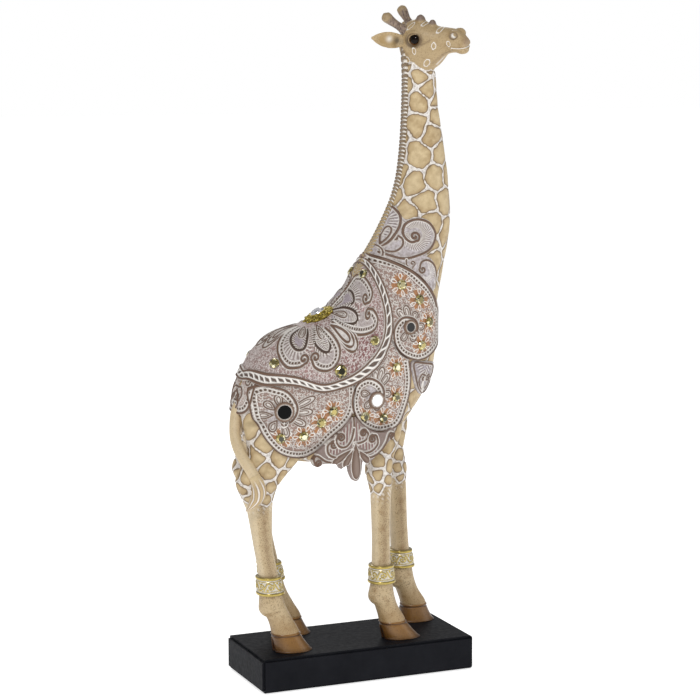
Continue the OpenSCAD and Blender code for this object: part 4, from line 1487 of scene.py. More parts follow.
class FlatSurface:
    """Upright plane beside the body, bowed slightly outwards."""

    def __init__(self, side, reach):
        self.side, self.reach = side, reach

    def __call__(self, s, z):
        """Points and outward normals at places of the side view."""
        bow = 1.6 * np.exp(-(((s + 4) / 24) ** 2))
        points = np.stack([s, BODY_Y + self.side * (self.reach + bow), z], -1)
        return points, np.broadcast_to(np.array([0.0, self.side, 0.0]), points.shape)


def swell(canvas, outline, height, colour, edge_colour):
    """Rounded leaf or drop whose colour goes over to the edge colour towards its rim: painted shade where
    that colour is the darker.
    """
    d = canvas.shape(outline)
    place, _ = canvas.distance(outline, 1.0, closed=True)
    d = d[place]
    rise = height * np.sqrt(np.clip(d / 3.5, 0, 1))
    canvas.height[place] = np.where(d > 0, np.maximum(canvas.height[place], rise), canvas.height[place])
    share = smoothstep(0.2, 3.4, d)[..., None]
    canvas.paint(place, d > 0, edge_colour * (1 - share) + colour * share)


def draw_flap():
    """Filigree, a beaded edge and two curls on the rump flap."""
    canvas = Canvas((-64, 205), (-27, 248), PALE_PINK)
    canvas.filigree(np.ones(canvas.size, bool))
    line = curve([(-52, 226), (-56.5, 222), (-59, 216), (-55, 212), (-48, 210), (-41, 212), (-37, 218),
                  (-35, 227), (-32, 238)])
    draw_border(canvas, line, 1)
    canvas.stroke(volute([(-51, 228), (-47, 228), (-45, 224), (-47, 220)], 2.9, 1.1, -1), 1.6, 1.2)
    canvas.stroke(volute([(-46, 240), (-40, 240), (-37.5, 236), (-39, 232)], 2.6, 1.0, -1), 1.3, 1.0)
    return canvas


def draw_chest_tassel():
    """Hatched drop with two curls and a bud."""
    canvas = Canvas((44, 212), (80, 248), mix(WASH, LAVENDER, 0.8))
    canvas.colour[:] = mix(WASH, LAVENDER, 0.9) * 0.85
    draw_hatch(canvas, curve([(52, 239), (61, 229), (69, 237)]), 6.0, 1, 1.2)
    outline = curve([(50, 242.5), (60, 241.5), (69.5, 239), (70.5, 233), (68.5, 228.5), (69, 224),
                     (65, 219.2), (60, 218.6), (55, 224), (51.5, 233)], closed=True)
    canvas.stroke(outline, 1.8, 1.3, closed=True)
    rear = [(60, 220), (56.5, 224), (55.5, 229), (58, 233), (61, 232)]
    canvas.stroke(volute(rear, 2.3, 1.0, -1), 1.5, 1.2)
    front = [(60.5, 220), (65, 223.5), (66.8, 228), (65.8, 232), (63.5, 231)]
    canvas.stroke(volute(front, 2.0, 1.0, 1), 1.4, 1.2)
    swell(canvas, petal((61, 230), (60, 219), 4.5), 1.4, TAUPE, WASH)
    return canvas


def draw_belly():
    """Hatched ground, a rib, scrolls to both sides and four hanging drops."""
    canvas = Canvas((-41, 152), (34, 210), mix(WASH, LAVENDER, 0.5))
    canvas.colour[:] = mix(canvas.colour, PINK, 0.75) * 0.6
    for side in (-1, 1):
        for k in range(14):
            x = -4 + side * (2.2 + 1.3 * k)
            tone = WASH if k % 2 else mix(ROSE, LINE, 0.5)
            canvas.stroke([(x, 202 - 1.2 * k), (x + side * 0.8, 184 - 0.6 * k)], 0.6, 0.35, tone, 0)
    rib = curve([(-4, 206), (-3.5, 196), (-3.5, 184)])
    canvas.stroke(rib, 1.7, 1.5)
    scrolls = [  # line, radius of its curl, side it curls to
        ([(-4, 181), (-11, 177), (-18, 176), (-24, 179), (-25, 185), (-22, 188)], 2.9, -1),
        ([(-4, 197), (-6, 189), (-10, 184), (-15, 184), (-18, 188), (-17, 192)], 2.9, -1),
        ([(-6, 178), (-15, 173), (-25, 173), (-33, 178), (-36, 176), (-35, 172)], 2.6, 1),
        ([(-3, 186), (1, 186), (6, 188), (8, 192), (6, 195)], 2.6, 1),
        ([(-2, 181), (4, 178), (11, 179), (16, 184), (15, 190), (12, 191)], 2.8, 1),
        ([(-1, 178), (8, 174), (17, 177), (23, 184), (26, 191), (29, 191)], 2.4, -1),
    ]
    for points, radius, hand in scrolls:
        line = volute(points, radius, 1.5, hand)
        canvas.stroke(line, 1.7, 1.7, LINE, 1.0)
        canvas.stroke(inset(curve(points), -1.5 * hand), 0.5, 0.7, WASH, 0)
    drops = [((-5, 182), (-22, 170.5), 7), ((-4, 182), (-12, 168), 7.5), ((-1, 181), (9, 170), 7),
             ((-2.5, 188), (-1.8, 158), 10.5)]
    for base, tip, width in drops:
        leaf = petal(base, tip, width)
        # painted shade: each drop darkens towards its rim
        swell(canvas, leaf, 2.2, TAUPE, LINE)
        canvas.stroke(leaf, 0.5, 0.5, WASH, 0, closed=True)
    return canvas


def build_hangings():
    """Rump flap, chest tassel and belly tassel on both sides."""
    flap, chest, belly = draw_flap(), draw_chest_tassel(), draw_belly()
    flap.inside = flap.shape(curve(FLAP, closed=True))
    chest.inside = chest.shape(curve(CHEST_TASSEL, closed=True))
    belly.inside = belly.shape(curve(BELLY_TASSEL, closed=True))
    for side, word in SIDES:
        rump = SideSurface(flap.low, flap.low + flap.size * CANVAS_STEP, side, FLAP_AZIMUTH, body_tree)
        plate(f"rump_flap_{word}_relief", flap, rump, CLOTH * 0.7, RELIEF, "panel_resin",
              [f"rump_flap_{word}"])
        front = SideSurface(chest.low, chest.low + chest.size * CANVAS_STEP, side, 0.0, body_tree)
        plate(f"chest_tassel_{word}_relief", chest, front, CLOTH * 0.6, RELIEF, "tassel_resin",
              [f"chest_tassel_{word}"])
        beside = FlatSurface(side, BELLY_REACH)
        plate(f"belly_tassel_{word}_relief", belly, beside, 0.8, RELIEF, "tassel_resin",
              [f"belly_tassel_{word}"], depth=3.0)


build_hangings()

# ---------------------------------------------------------------- stones, mirrors and brooch


def seat_on_body(t, phi):
    """Point and outward direction on the casting at a seat."""
    out = skin_normal(t, phi, 0.05)
    place = skin(t, phi)
    hit = body_tree.ray_cast(Vector(place + out * 30), Vector(-out), 60)
    if hit[0] is not None:
        place, out = np.array(hit[0]), unit(out + np.array(hit[1]))
    return place, out


def upright_axes(out):
    """Axes of a seat: across, upwards along the surface, outwards."""
    up = unit(np.array([0, 0, 1.0]) - out * out[2] + 1e-6)
    return np.stack([np.cross(up, out), up, out])


def placed(points, seat, lift):
    """Points of a small part moved on to its seat."""
    place, out = seat
    return np.asarray(points) @ upright_axes(out) + place + out * lift


def torus_faces(rows, columns):
    """Quads of a lattice closed both ways."""
    quads = grid_faces(rows + 1, columns, True)
    return quads % (rows * columns)


def tube(path, radius, sides=10, closed=False, across=(0, 0, 1.0)):
    """Round tube along a path: (points, faces); radius is one number or one per point."""
    path = np.asarray(path, float)
    n = len(path)
    radius = np.broadcast_to(radius, (n,))
    padded = np.vstack([path[-1:], path, path[:1]])
    way = unit(np.gradient(padded, axis=0)[1:-1] if closed else np.gradient(path, axis=0))
    u = unit(np.cross(way, across) + 1e-9)
    v = np.cross(way, u)
    a = angles(360 / sides)[None, :, None]
    rings = path[:, None] + radius[:, None, None] * (np.cos(a) * u[:, None] + np.sin(a) * v[:, None])
    if closed:
        return rings.reshape(-1, 3), list(torus_faces(n, sides))
    return loft(rings)


def brilliant(radius):
    """Faceted stone with a table, its flat back at z 0."""
    def ring(count, r, z, turned=0.0):
        return level_ring(2 * math.pi * (np.arange(count) + turned) / count, r, z)

    cloud = np.vstack([ring(16, radius * 0.97, 0), ring(16, radius, 0.5),
                       ring(8, radius * 0.8, radius * 0.36, 0.5), ring(8, radius * 0.52, radius * 0.5)])
    shape = bmesh.new()
    for p in cloud:
        shape.verts.new(p)
    bmesh.ops.convex_hull(shape, input=shape.verts)
    bmesh.ops.dissolve_limit(shape, angle_limit=0.01, verts=shape.verts, edges=shape.edges)
    shape.verts.index_update()
    points = np.array([v.co for v in shape.verts])
    faces = [np.array([v.index for v in f.verts]) for f in shape.faces]
    shape.free()
    return points, faces


def faceted(points, faces):
    """Gives every face its own corners and a tone of its own."""
    corners = np.concatenate(faces)
    sizes = [len(f) for f in faces]
    starts = np.r_[0, np.cumsum(sizes)]
    tones = np.repeat(rng.random(len(faces)), sizes)
    return points[corners], [np.arange(a, b) for a, b in zip(starts[:-1], starts[1:])], tones


def gem_material():
    """Foil-backed champagne glass: bright and dark facets, painted reflections picked by each facet's
    random tone.
    """
    n = Nodes("champagne_glass")
    tone = n.attribute("tone")
    colour = n.blend(linear("33301c"), linear("bfae62"), n.ramp(tone, (0.15, 0), (0.55, 1)))
    colour = n.blend(colour, linear("f6f1cd"), n.ramp(tone, (0.68, 0), (0.95, 1)))
    return n.surface(base_color=colour, metallic=0.55, roughness=0.09, coat_weight=1.0, coat_roughness=0.03)


def crystal_material():
    """Clear stone with pale grey and white facets: painted reflections picked by each facet's random tone.
    """
    n = Nodes("clear_crystal")
    tone = n.attribute("tone")
    colour = n.blend(linear("9fa3ad"), linear("f4f2f6"), tone)
    return n.surface(base_color=colour, metallic=0.3, roughness=0.06, coat_weight=1.0)


def mirror_material():
    """Mirror glass from black to white by each mirror's tone; the black ones have a dark reflection painted
    in as base colour.
    """
    n = Nodes("mirror_glass")
    shade = n.attribute("tone")
    film = n.math("MULTIPLY", n.ramp(n.noise(0.35, 3), (0.4, 0), (0.8, 1)), 0.05)
    colour = n.blend(linear("050506"), linear("f7f7f7"), shade)
    return n.surface(base_color=colour, metallic=shade, roughness=n.math("ADD", film, 0.03),
                     specular_ior_level=0.1)


def gold_material():
    """Worn gold paint."""
    n = Nodes("gold_paint")
    worn = n.ramp(n.noise(0.9, 4), (0.35, 0), (0.75, 1))
    colour = n.blend(linear("8f7c33"), linear("d9c766"), worn)
    n.bump(n.noise(2.0, 3), 0.2, 0.2)
    return n.surface(base_color=colour, metallic=0.75, roughness=n.ramp(worn, (0, 0.42), (1, 0.26)))


GOLD = gold_material()


# painted reflection of each mirror: 0 is a black base colour standing in for a dark reflection, 1 a white
# metal mirror
MIRROR_PAINTED_REFLECTIONS = (0.0, 1.0, 0.05)
GEM_RADIUS, LARGE_GEM, LARGE_GEM_RADIUS = 3.9, 6, 5.1
SADDLE_GEMS = (0, 5, 6, 7)
DISC_STEPS = [(0, 0), (0, 0.7), (-0.25, 0.95)]
BEZEL_STEPS = [  # beyond the mirror's radius, height
    (-0.2, 0), (-0.25, 1.3), (0.15, 1.7), (0.5, 1.35), (0.9, 1.75), (1.5, 1.9), (2.0, 1.5), (2.2, 0.4),
    (2.2, 0),
]


def build_gems(side, word, glass):
    """Set stones of one side, as one piece."""
    stones, tones = [], []
    for i, (t, phi) in enumerate(GEM_SEATS):
        lift = CLOTH + (0.6 if i in SADDLE_GEMS else 0.3)
        points, faces, tone = faceted(*brilliant(LARGE_GEM_RADIUS if i == LARGE_GEM else GEM_RADIUS))
        stones.append((placed(points, seat_on_body(t, side * phi), lift), faces))
        tones.append(tone)
    build_piece(f"gem_set_{word}", joined(*stones), glass, "gem_glass", [f"gems_{word}"], sharp=5,
                tone=np.concatenate(tones))


def build_mirrors(side, word, glass):
    """Round mirrors of one side as one piece, and their bezels as another."""
    discs, bezels, shade, paint = [], [], [], []
    a = angles(7.5)
    for (t, phi), radius, tone in zip(MIRROR_SEATS, MIRROR_RADII, MIRROR_PAINTED_REFLECTIONS):
        seat = seat_on_body(t, side * phi)
        profile = [(0.5, 0)] + [(radius + r, h) for r, h in DISC_STEPS] + [(radius * 0.5, 1.0)]
        points, faces = loft([level_ring(a, r, h) for r, h in profile])
        discs.append((placed(points, seat, CLOTH + 0.5), faces))
        shade.append(np.full(len(points), tone))
        rings = np.array([level_ring(a, radius + r, h) for r, h in BEZEL_STEPS])
        quads = list(torus_faces(len(BEZEL_STEPS), len(a)))
        bezels.append((placed(rings.reshape(-1, 3), seat, CLOTH - 0.1), quads))
        pale = np.repeat([[r < 0.6] for r, _ in BEZEL_STEPS], len(a))
        paint.append(np.where(pale[:, None], WASH, linear("7d6149")))
    build_piece(f"mirror_discs_{word}", joined(*discs), glass, "mirror_glass", [f"mirrors_{word}"],
                sharp=40, tone=np.concatenate(shade))
    build_piece(f"bezel_rings_{word}", joined(*bezels), RELIEF, "bezel_resin", [f"mirror_bezels_{word}"],
                sharp=50, paint=np.concatenate(paint))


def build_stones():
    """Stones, mirrors and bezels of both sides."""
    gem, mirror = gem_material(), mirror_material()
    for side, word in SIDES:
        build_gems(side, word, gem)
        build_mirrors(side, word, mirror)


BROOCH_LOOPS = 10
BROOCH_DISC = [(0.5, -0.6), (11.5, -0.6), (11.8, 0.2), (9, 1.4), (6.4, 2.4), (0.5, 2.4)]


def brooch_setting():
    """Loops of wire with small balls between them, round a rim on a domed disc."""
    parts = []
    for k in range(BROOCH_LOOPS):
        a = 2 * math.pi * k / BROOCH_LOOPS
        way = np.array([math.cos(a), math.sin(a)])
        for near, far, width, lift, wire in ((6.0, 12.3, 5.6, 0.0, 0.62), (7.4, 10.8, 2.6, 0.3, 0.4)):
            flat = petal(way * near, way * far, width, 28)
            dome = 3.4 - 0.018 * (flat**2).sum(1) + lift
            parts.append(tube(np.c_[flat, dome], wire, 8, closed=True))
        parts.append(ball([*way * 12.4, 0.9], [1.0, 1.0, 1.0]))
        b = a + math.pi / BROOCH_LOOPS
        parts.append(ball([10.2 * math.cos(b), 10.2 * math.sin(b), 1.7], [0.8, 0.8, 0.8]))
    a = angles(6)
    parts.append(tube(level_ring(a, 6.3, 3.0), 0.75 + 0.12 * np.cos(20 * a), 10, closed=True))
    parts.append(loft([level_ring(a, r, h) for r, h in BROOCH_DISC]))
    return joined(*parts)


def build_brooch():
    """Gold filigree setting with a clear stone on the back."""
    seat = seat_on_body(BROOCH_STATION, 0.0)
    points, faces = brooch_setting()
    build_piece("brooch_filigree", (placed(points, seat, CLOTH + 0.4), faces), GOLD, "brooch_gold",
                ["brooch_setting"], sharp=60)
    points, faces, tone = faceted(*brilliant(6.0))
    build_piece("brooch_stone", (placed(points, seat, CLOTH + 2.9), faces), crystal_material(), "crystal",
                ["brooch_crystal"], sharp=5, tone=tone)


build_stones()
build_brooch()

# ---------------------------------------------------------------- anklets and hooves

ANKLET_FOOT, ANKLET_TOP = 72.0, 86.5


class AnkletSurface:
    """Skin of a leg unrolled: u runs once round in 60, v upwards."""

    def __init__(self, leg):
        self.leg = leg

    def __call__(self, u, v):
        """Points and outward normals round the leg."""
        a = np.radians(u * 6 + 180)
        height = np.clip(v, 0, 15) / 15 * (ANKLET_TOP - ANKLET_FOOT)
        centre, length, width = leg_centre(self.leg, ANKLET_FOOT + height)
        out = np.stack([signed_power(np.cos(a), 0.9), signed_power(np.sin(a), 0.9), 0 * a], -1)
        reach = np.stack([length, width, 0 * a], -1)
        normal = unit(out / np.stack([length, width, 0 * a + 1], -1))
        return centre + out * reach, normal


def draw_anklet():
    """Gold rims and curls on a pale ground."""
    canvas = Canvas((-1, -1), (61, 16), linear("dcd6c8"))
    gold = linear("b8a35a")
    for v, width in ((1.3, 2.4), (13.7, 2.4), (3.7, 0.8), (11.3, 0.8)):
        canvas.stroke([(-1, v), (61, v)], width, 0.9 if width > 1 else 0.5, gold, 0.2)
    for k in range(8):
        u = 3.75 + 7.5 * k
        flip = 1 if k % 2 else -1
        path = [(u - 3.6, 7.5 - 2.8 * flip), (u - 0.6, 7.5 + 2.8 * flip), (u + 2.6, 7.5 + 1.6 * flip)]
        canvas.stroke(volute(path, 2.1, 1.1, -flip), 1.25, 0.9, gold, 0.1)
        canvas.dot((u - 1, 7.5 - 2.6 * flip), 0.9, 0.6, gold, 0)
    return canvas


def anklet_material():
    """Gold where the paint is gold, chalky white between."""
    n = Nodes("gilded_resin")
    paint = n.attribute("paint", True)
    gild = n.ramp(n.put("SeparateColor", {"Color": paint}).outputs["Blue"], (0.35, 1), (0.6, 0))
    colour = n.blend(paint, linear("8a742c"), n.over(0.5, 0.75, 0.4, n.noise(1.2, 3)))
    n.bump(n.noise(1.8, 3), 0.15, 0.2)
    metal = n.math("MULTIPLY", gild, 0.7)
    return n.surface(base_color=colour, metallic=metal, roughness=n.ramp(gild, (0, 0.55), (1, 0.3)))


def hoof_material():
    """Glossy caramel, darker towards the edges and the coronet, with fine upright grain; the darker edges
    are painted shade.
    """
    n = Nodes("glossy_hoof")
    shade = n.attribute("tone")
    grain = n.noise(0.9, 4)
    colour = n.blend(linear("966b31"), linear("45280f"), n.ramp(shade, (0.1, 0), (0.85, 1)))
    colour = n.blend(colour, linear("4a2b10"), n.over(0.52, 0.72, 0.45, grain))
    n.bump(grain, 0.12, 0.3)
    return n.surface(base_color=colour, roughness=0.36, coat_weight=0.15, coat_roughness=0.15)


HOOF_PRINTS = {  # x, y, half length, half width
    "foreleg_right": (43.5, -17.5, 15, 10.8), "foreleg_left": (75, 24, 15, 10.8),
    "hindleg_right": (-47.5, -18, 15, 11.5), "hindleg_left": (-31, 26, 15, 11.5),
}


def bell(x, middle, width):
    """1 at the middle, falling away over a width on both sides."""
    return np.exp(-((x - middle) / width) ** 2)


def hoof_shape(leg, sole):
    """Hoof from its print on the ground to the coronet, and its tones: cleft, heel, coronet band."""
    centre, length, width = leg_centre(leg, CORONET_Z)
    x, y, half_length, half_width = sole
    a = angles(3)
    ahead, aside = np.cos(a), np.sin(a)
    low = np.array([x, y, GROUND])
    rings, tones = [], []
    for k in np.linspace(0, 1.06, 30):
        middle = mix(low, centre, min(k, 1.0))
        middle = middle - np.array([2.6, 0, 0]) * k * (1 - k) + np.array([0, 0, max(k - 1, 0) * 14])
        half_x = half_length * (1 - k) + length * k
        half_y = half_width * (1 - k) + width * k
        cleft = 2.4 * bell(aside * half_y, 0, 1.3) * (ahead > 0) * smoothstep(0.95, 0.1, k)
        heel = 1.2 * bell(aside * half_y, 0, 1.6) * (ahead < 0) * smoothstep(0.8, 0.2, k)
        foot_roll = 0.5 * bell(k, 0.04, 0.05)
        coronet = 0.55 * bell(k, 0.95, 0.05) - 0.5 * bell(k, 0.87, 0.025)
        grow = foot_roll + coronet + 0.06 * np.sin(k * 60)
        ring_x = middle[0] + (half_x + grow) * signed_power(ahead, 0.88) - cleft + heel
        ring_y = middle[1] + (half_y + grow) * signed_power(aside, 0.88)
        rings.append(np.stack([ring_x, ring_y, np.full(len(a), middle[2])], 1))
        # tones: darker at the coronet band and at the ground; painted shade down the cleft and heel groove
        # and towards the front and back
        tone = 0.25 + 0.55 * bell(k, 0.88, 0.035) + 0.35 * bell(k, 0, 0.12)
        tones.append(tone + 0.45 * bell(aside * half_y, 0, 2.0) * smoothstep(0.95, 0.2, k)
                     + 0.35 * smoothstep(0.3, 1.0, np.abs(ahead)))
    return loft(rings), np.clip(np.r_[np.concatenate(tones), 0.5, 0.5], 0, 1)


def build_feet():
    """Anklets and hooves of the four legs."""
    gilded, glossy = anklet_material(), hoof_material()
    canvas = draw_anklet()
    canvas.inside = canvas.shape([(0, 0.2), (60, 0.2), (60, 14.8), (0, 14.8)])
    for name, leg in LEGS.items():
        end = name.replace("leg", "")
        plate(f"anklet_{end}_relief", canvas, AnkletSurface(leg), 1.9, gilded, "gold_paint",
              [f"anklet_{end}"])
        shape, tone = hoof_shape(leg, HOOF_PRINTS[name])
        build_piece(f"hoof_{end}_shell", shape, glossy, "hoof_gloss", [f"hoof_{end}"], tone=tone)


build_feet()

# ---------------------------------------------------------------- mane, tail and head details


def strand_material():
    """Painted strands: pale hollows, tan and brown ridges."""
    n = Nodes("painted_strands")
    dark_mottle = n.over(0.55, 0.75, 0.35, n.noise(1.4, 3))
    colour = n.blend(n.attribute("paint", True), linear("6f553c"), dark_mottle)
    n.bump(n.noise(1.8, 3), 0.15, 0.3)
    return n.surface(base_color=colour, roughness=0.55)


STRANDS = strand_material()


def triangle(phase):
    """Triangle wave: 1 at whole numbers, 0 half way between them."""
    return np.abs((phase % 1) - 0.5) * 2


MANE_HEIGHT, MANE_PITCH = 4.6, 2.9
MANE_CREST, MANE_BASE = 1.8, 6.4


def with_ends(values):
    """Values of a loft's rings, with those of its two end points added."""
    flat = values.reshape(-1, values.shape[-1])
    return np.vstack([flat, flat[:1], flat[-1:]])


def build_mane():
    """Ridge down the neck with slanting bars and pale notches."""
    t = np.linspace(7.5, 17.99, 900)
    half = MANE_CREST + (MANE_BASE - MANE_CREST) * np.clip((13 - t) / 5, 0, 1)
    widest = np.degrees(np.arcsin((half / spline(BODY_KEYS, t)[:, 4]) ** (squareness(t) / 2)))
    s = np.linspace(-1, 1, 25)
    edge = signed_power(s, 0.9)
    run = run_along(skin(t, 0.0))
    slant = 1.1 * np.abs(s) * half[:, None]
    phase = (run[:, None] - slant) / MANE_PITCH + 0.06 * np.sin(run[:, None] * 0.9)
    wave = triangle(phase)
    ridge = smoothstep(0.15, 0.6, wave)
    crown = np.sqrt(np.clip(1 - s**2, 0, 1)) ** 0.7
    start = smoothstep(0, 1.2, run)[:, None]
    rise = MANE_HEIGHT * crown * (0.5 + 0.46 * ridge) * (0.8 + 0.2 * start)
    angle = widest[:, None] * edge
    lean = smoothstep(17.4, 17.99, t)[:, None, None] * np.array([-1.0, 0, 7.0])
    top = skin(t[:, None], angle, rise) + lean
    under = skin(t[:, None], angle, np.full_like(rise, -1.2)) + lean
    rings = np.concatenate([top, under[:, ::-1]], 1)
    upper = smoothstep(40, 90, run)[:, None]
    bar = mix(linear("bfa678"), linear("837059"), upper * np.ones_like(wave))
    bar = mix(bar, linear("5f4a38"), smoothstep(0.32, 0.42, wave) * smoothstep(0.66, 0.5, wave) * 0.9)
    paint = mix(linear("eee9e0"), bar, smoothstep(0.32, 0.42, wave))
    build_piece("mane_strands", loft(rings), STRANDS, "mane_resin", ["mane"],
                paint=with_ends(np.concatenate([paint, paint[:, ::-1]], 1)))


def sweep(keys, steps, sides=20, across=(1, 0, 0)):
    """Rings along [x, y, z, radius] keys."""
    keys = np.asarray(keys, float)
    k = spline(keys, np.linspace(0, len(keys) - 1, steps))
    way = unit(np.gradient(k[:, :3], axis=0))
    u = unit(np.cross(np.asarray(across, float), way))
    v = np.cross(way, u)
    a = angles(360 / sides)[None, :, None]
    return k[:, None, :3] + k[:, None, 3:] * (np.cos(a) * u[:, None] + np.sin(a) * v[:, None]), k


# x, y, z and radius down the tail and its tuft
TAIL_KEYS = [(-80, 3, 218, 4.4), (-85.5, 0, 208, 4.1), (-88.5, -7, 192, 4.2), (-87.5, -17, 180, 4.2),
             (-84, -25, 171, 4.2), (-80.5, -29.5, 163, 4.4)]
TUFT_KEYS = [(-82, -28.5, 166, 4.1), (-79.5, -30.5, 160, 4.9), (-79, -31.5, 155, 5.4),
             (-80.5, -31.5, 150, 5.0), (-83.5, -30.8, 146, 3.6), (-87, -30.2, 142, 1.5),
             (-89, -30, 140.3, 0.5)]
TUFT_STEPS, TUFT_SIDES = 70, 96


def build_tail(resin):
    """Smooth tail and its twisted tuft."""
    tail = loft(sweep(TAIL_KEYS, 60, 24)[0])
    build_piece("tail_casting", tail, resin, "body_resin", ["tail"],
                **plain_paint(len(tail[0]), linear("dcc8a4"), 0.65))
    rings, k = sweep(TUFT_KEYS, TUFT_STEPS, TUFT_SIDES)
    centre = k[:, None, :3]
    s = np.linspace(0, 1, TUFT_STEPS)[:, None]
    strand = triangle(angles(360 / TUFT_SIDES)[None] / (2 * math.pi) * 7 + 1.6 * s)
    depth = 1 + 0.2 * smoothstep(0, 0.25, s) * (np.sqrt(strand) - 0.75)
    shape = loft(centre + (rings - centre) * depth[..., None])
    paint = mix(WASH, linear("c4ab82"), smoothstep(0.12, 0.4, strand))
    shadow = smoothstep(0.3, 0.45, strand) * smoothstep(0.62, 0.5, strand)
    paint = mix(paint, linear("8a6c50"), 0.8 * shadow)
    paint = mix(paint, linear("cdb78f"), (1 - smoothstep(0.05, 0.25, s)) * np.ones_like(strand))
    build_piece("tail_tuft_strands", shape, STRANDS, "mane_resin", ["tail_tuft"], paint=with_ends(paint))


def plain_paint(count, paint, painted):
    """Attributes of an unpatterned piece of casting with a coat of paint, one or per point."""
    values = {"edge": FAR, "tone": 0.5, "plain": 1.0, "mark": FAR, "painted": painted}
    layers = {key: np.broadcast_to(value, (count,)) for key, value in values.items()}
    return {**layers, "paint": np.broadcast_to(paint, (count, 3))}


def sided(shape, side):
    """A shape whose faces are turned over on the right, where it is mirrored."""
    points, faces = shape
    return points, [f[::-1] for f in faces] if side == RIGHT else faces


EAR_SPREAD = np.array([  # share of the way from root to tip, half width
    (0, 2.4), (0.12, 3.8), (0.3, 5.6), (0.5, 6.2), (0.7, 5.4), (0.88, 3.2), (1, 0.5),
])
EAR_STEPS, EAR_COLUMNS = 44, 25


def ear_rings(root, tip, side):
    """Rings of an ear's front and rear, with its shape values s, v, opening and hollow."""
    along = unit(tip - root)
    up = unit(np.array([0, 0, 1.0]) - along * along[2])
    back = np.cross(along, up) * (1 if side == RIGHT else -1)
    s = np.linspace(0, 1, EAR_STEPS)
    half = np.interp(s, EAR_SPREAD[:, 0], EAR_SPREAD[:, 1])
    half = np.convolve(np.pad(half, 2, mode="edge"), np.ones(5) / 5, "valid")
    s, half = s[:, None], half[:, None]
    v = np.sin(np.linspace(-math.pi / 2, math.pi / 2, EAR_COLUMNS))[None]
    bowl = np.clip(1 - v**2, 0, 1) * half
    opening = smoothstep(0.1, 0.3, s) * smoothstep(1, 0.72, s)
    arch = 1.4 * np.sin(s * math.pi) * back
    middle = root + (tip - root) * s + arch * -0.6
    inner = bowl * (0.34 * opening - 0.18 * (1 - opening))
    outer = bowl * (0.42 + 0.06 * opening) + 0.45
    spread = middle[:, None] + (v * half)[..., None] * up
    front, rear = spread + inner[..., None] * back, spread + outer[..., None] * back
    return np.concatenate([front, rear[:, ::-1]], 1), s, v, np.clip(bowl / 6.0, 0, 1) * opening


def build_ears(resin):
    """Two hollow leaf shaped ears, dark at the root and pale in the middle."""
    for side, word in SIDES:
        root, tip = np.array([-5.0, side * 8.5, 486.8]), np.array([-25, side * 28, 494.0])
        rings, s, v, hollow = ear_rings(root, tip, side)
        points, faces = sided(loft(rings), side)
        root_shade = smoothstep(0.46, 0.28, s) * bell(v, 0, 0.65)
        glint = np.exp(-((s - 0.5) / 0.08) ** 2 - ((v - 0.1) / 0.4) ** 2)
        front = mix(linear("a88c5c"), linear("4c3d26"), root_shade)
        front = mix(front, linear("e2ddd2"), glint)
        rear = np.broadcast_to(linear("a88c5c"), front.shape)
        inside = np.maximum(0.45, smoothstep(0.3, 0.75, hollow) * 0.9)
        painted = np.concatenate([inside, 0.4 + 0 * hollow], 1).ravel()
        paint = with_ends(np.concatenate([front, rear], 1))
        build_piece(f"ear_{word}_leaf", (on_head(points), faces), resin, "body_resin", [f"ear_{word}"],
                    **plain_paint(len(points), paint, np.r_[painted, 0, 0]))


def horn_material():
    """Grey brown streaks along the horns."""
    n = Nodes("horn_paint")
    place = n.put("TexCoord").outputs["Object"]
    stretched = n.put("Mapping", {"Vector": place, "Scale": (1.0, 1.0, 0.35)}).outputs["Vector"]
    streak = n.put("TexNoise", {"Vector": stretched, "Scale": 1.0 / MM, "Detail": 4.0}).outputs["Fac"]
    colour = n.blend(linear("958273"), linear("5f4e45"), n.ramp(streak, (0.38, 0), (0.62, 1)))
    colour = n.blend(colour, linear("b09a72"), n.ramp(n.noise(0.5, 3), (0.55, 0), (0.8, 0.8)))
    colour = n.blend(colour, linear("a48d66"), n.math("MULTIPLY", n.attribute("tone"), 0.75))
    n.bump(streak, 0.4, 0.4)
    return n.surface(base_color=colour, roughness=0.5)


HORN_KEYS = [  # x, distance from the middle plane, z and radius, from the skull to the knob's top
    (-3, 3.5, 491, 6.6), (-6.5, 5.4, 494.3, 4.9), (-9.5, 7.6, 497.4, 3.4), (-12.5, 9.9, 500.5, 2.95),
    (-15, 11.8, 503.2, 3.3), (-17.2, 13.4, 505.9, 4.0), (-18.6, 14.5, 507.7, 3.6),
    (-19.5, 15.2, 509, 2.0), (-19.9, 15.5, 509.5, 0.5),
]
HORN_STEPS, HORN_SIDES = 60, 32


def build_horns():
    """Two knobbed ossicones, slightly uneven, tan at the knob and the root."""
    material = horn_material()
    a, k = np.arange(HORN_SIDES), np.arange(HORN_STEPS)[:, None]
    wobble = 1 + 0.03 * np.sin(a * 1.2 + 0.5) + 0.025 * np.sin(k * 0.35 + a * 0.4)
    share = np.linspace(0, 1, HORN_STEPS)
    knob = np.maximum(smoothstep(0.52, 0.66, share), smoothstep(0.2, 0.05, share) * 0.7)
    for side, word in SIDES:
        rings, rows = sweep(HORN_KEYS * np.array([1, side, 1, 1]), HORN_STEPS, HORN_SIDES)
        centre = rows[:, None, :3]
        points, faces = loft(centre + (rings - centre) * wobble[..., None])
        build_piece(f"ossicone_{word}_horn", (on_head(points), faces), material, "horn_resin",
                    [f"ossicone_{word}"], tone=np.r_[np.repeat(knob, HORN_SIDES), 0, 1])


def eye_material():
    """Black pupil in a dark brown rim."""
    n = Nodes("glossy_eye")
    colour = n.blend(linear("050403"), linear("7a4a18"), n.ramp(n.attribute("tone"), (0.5, 0), (0.8, 1)))
    colour = n.blend(colour, linear("2b1609"), n.ramp(n.noise(0.8, 3), (0.4, 0), (0.7, 0.5)))
    return n.surface(base_color=colour, roughness=0.1, specular_ior_level=0.14)


EYE_SIZE = EYE_RADIUS * 1.12
EYE_SHIFT = [0.7, 0, -0.2]
EYE_ROWS = 50


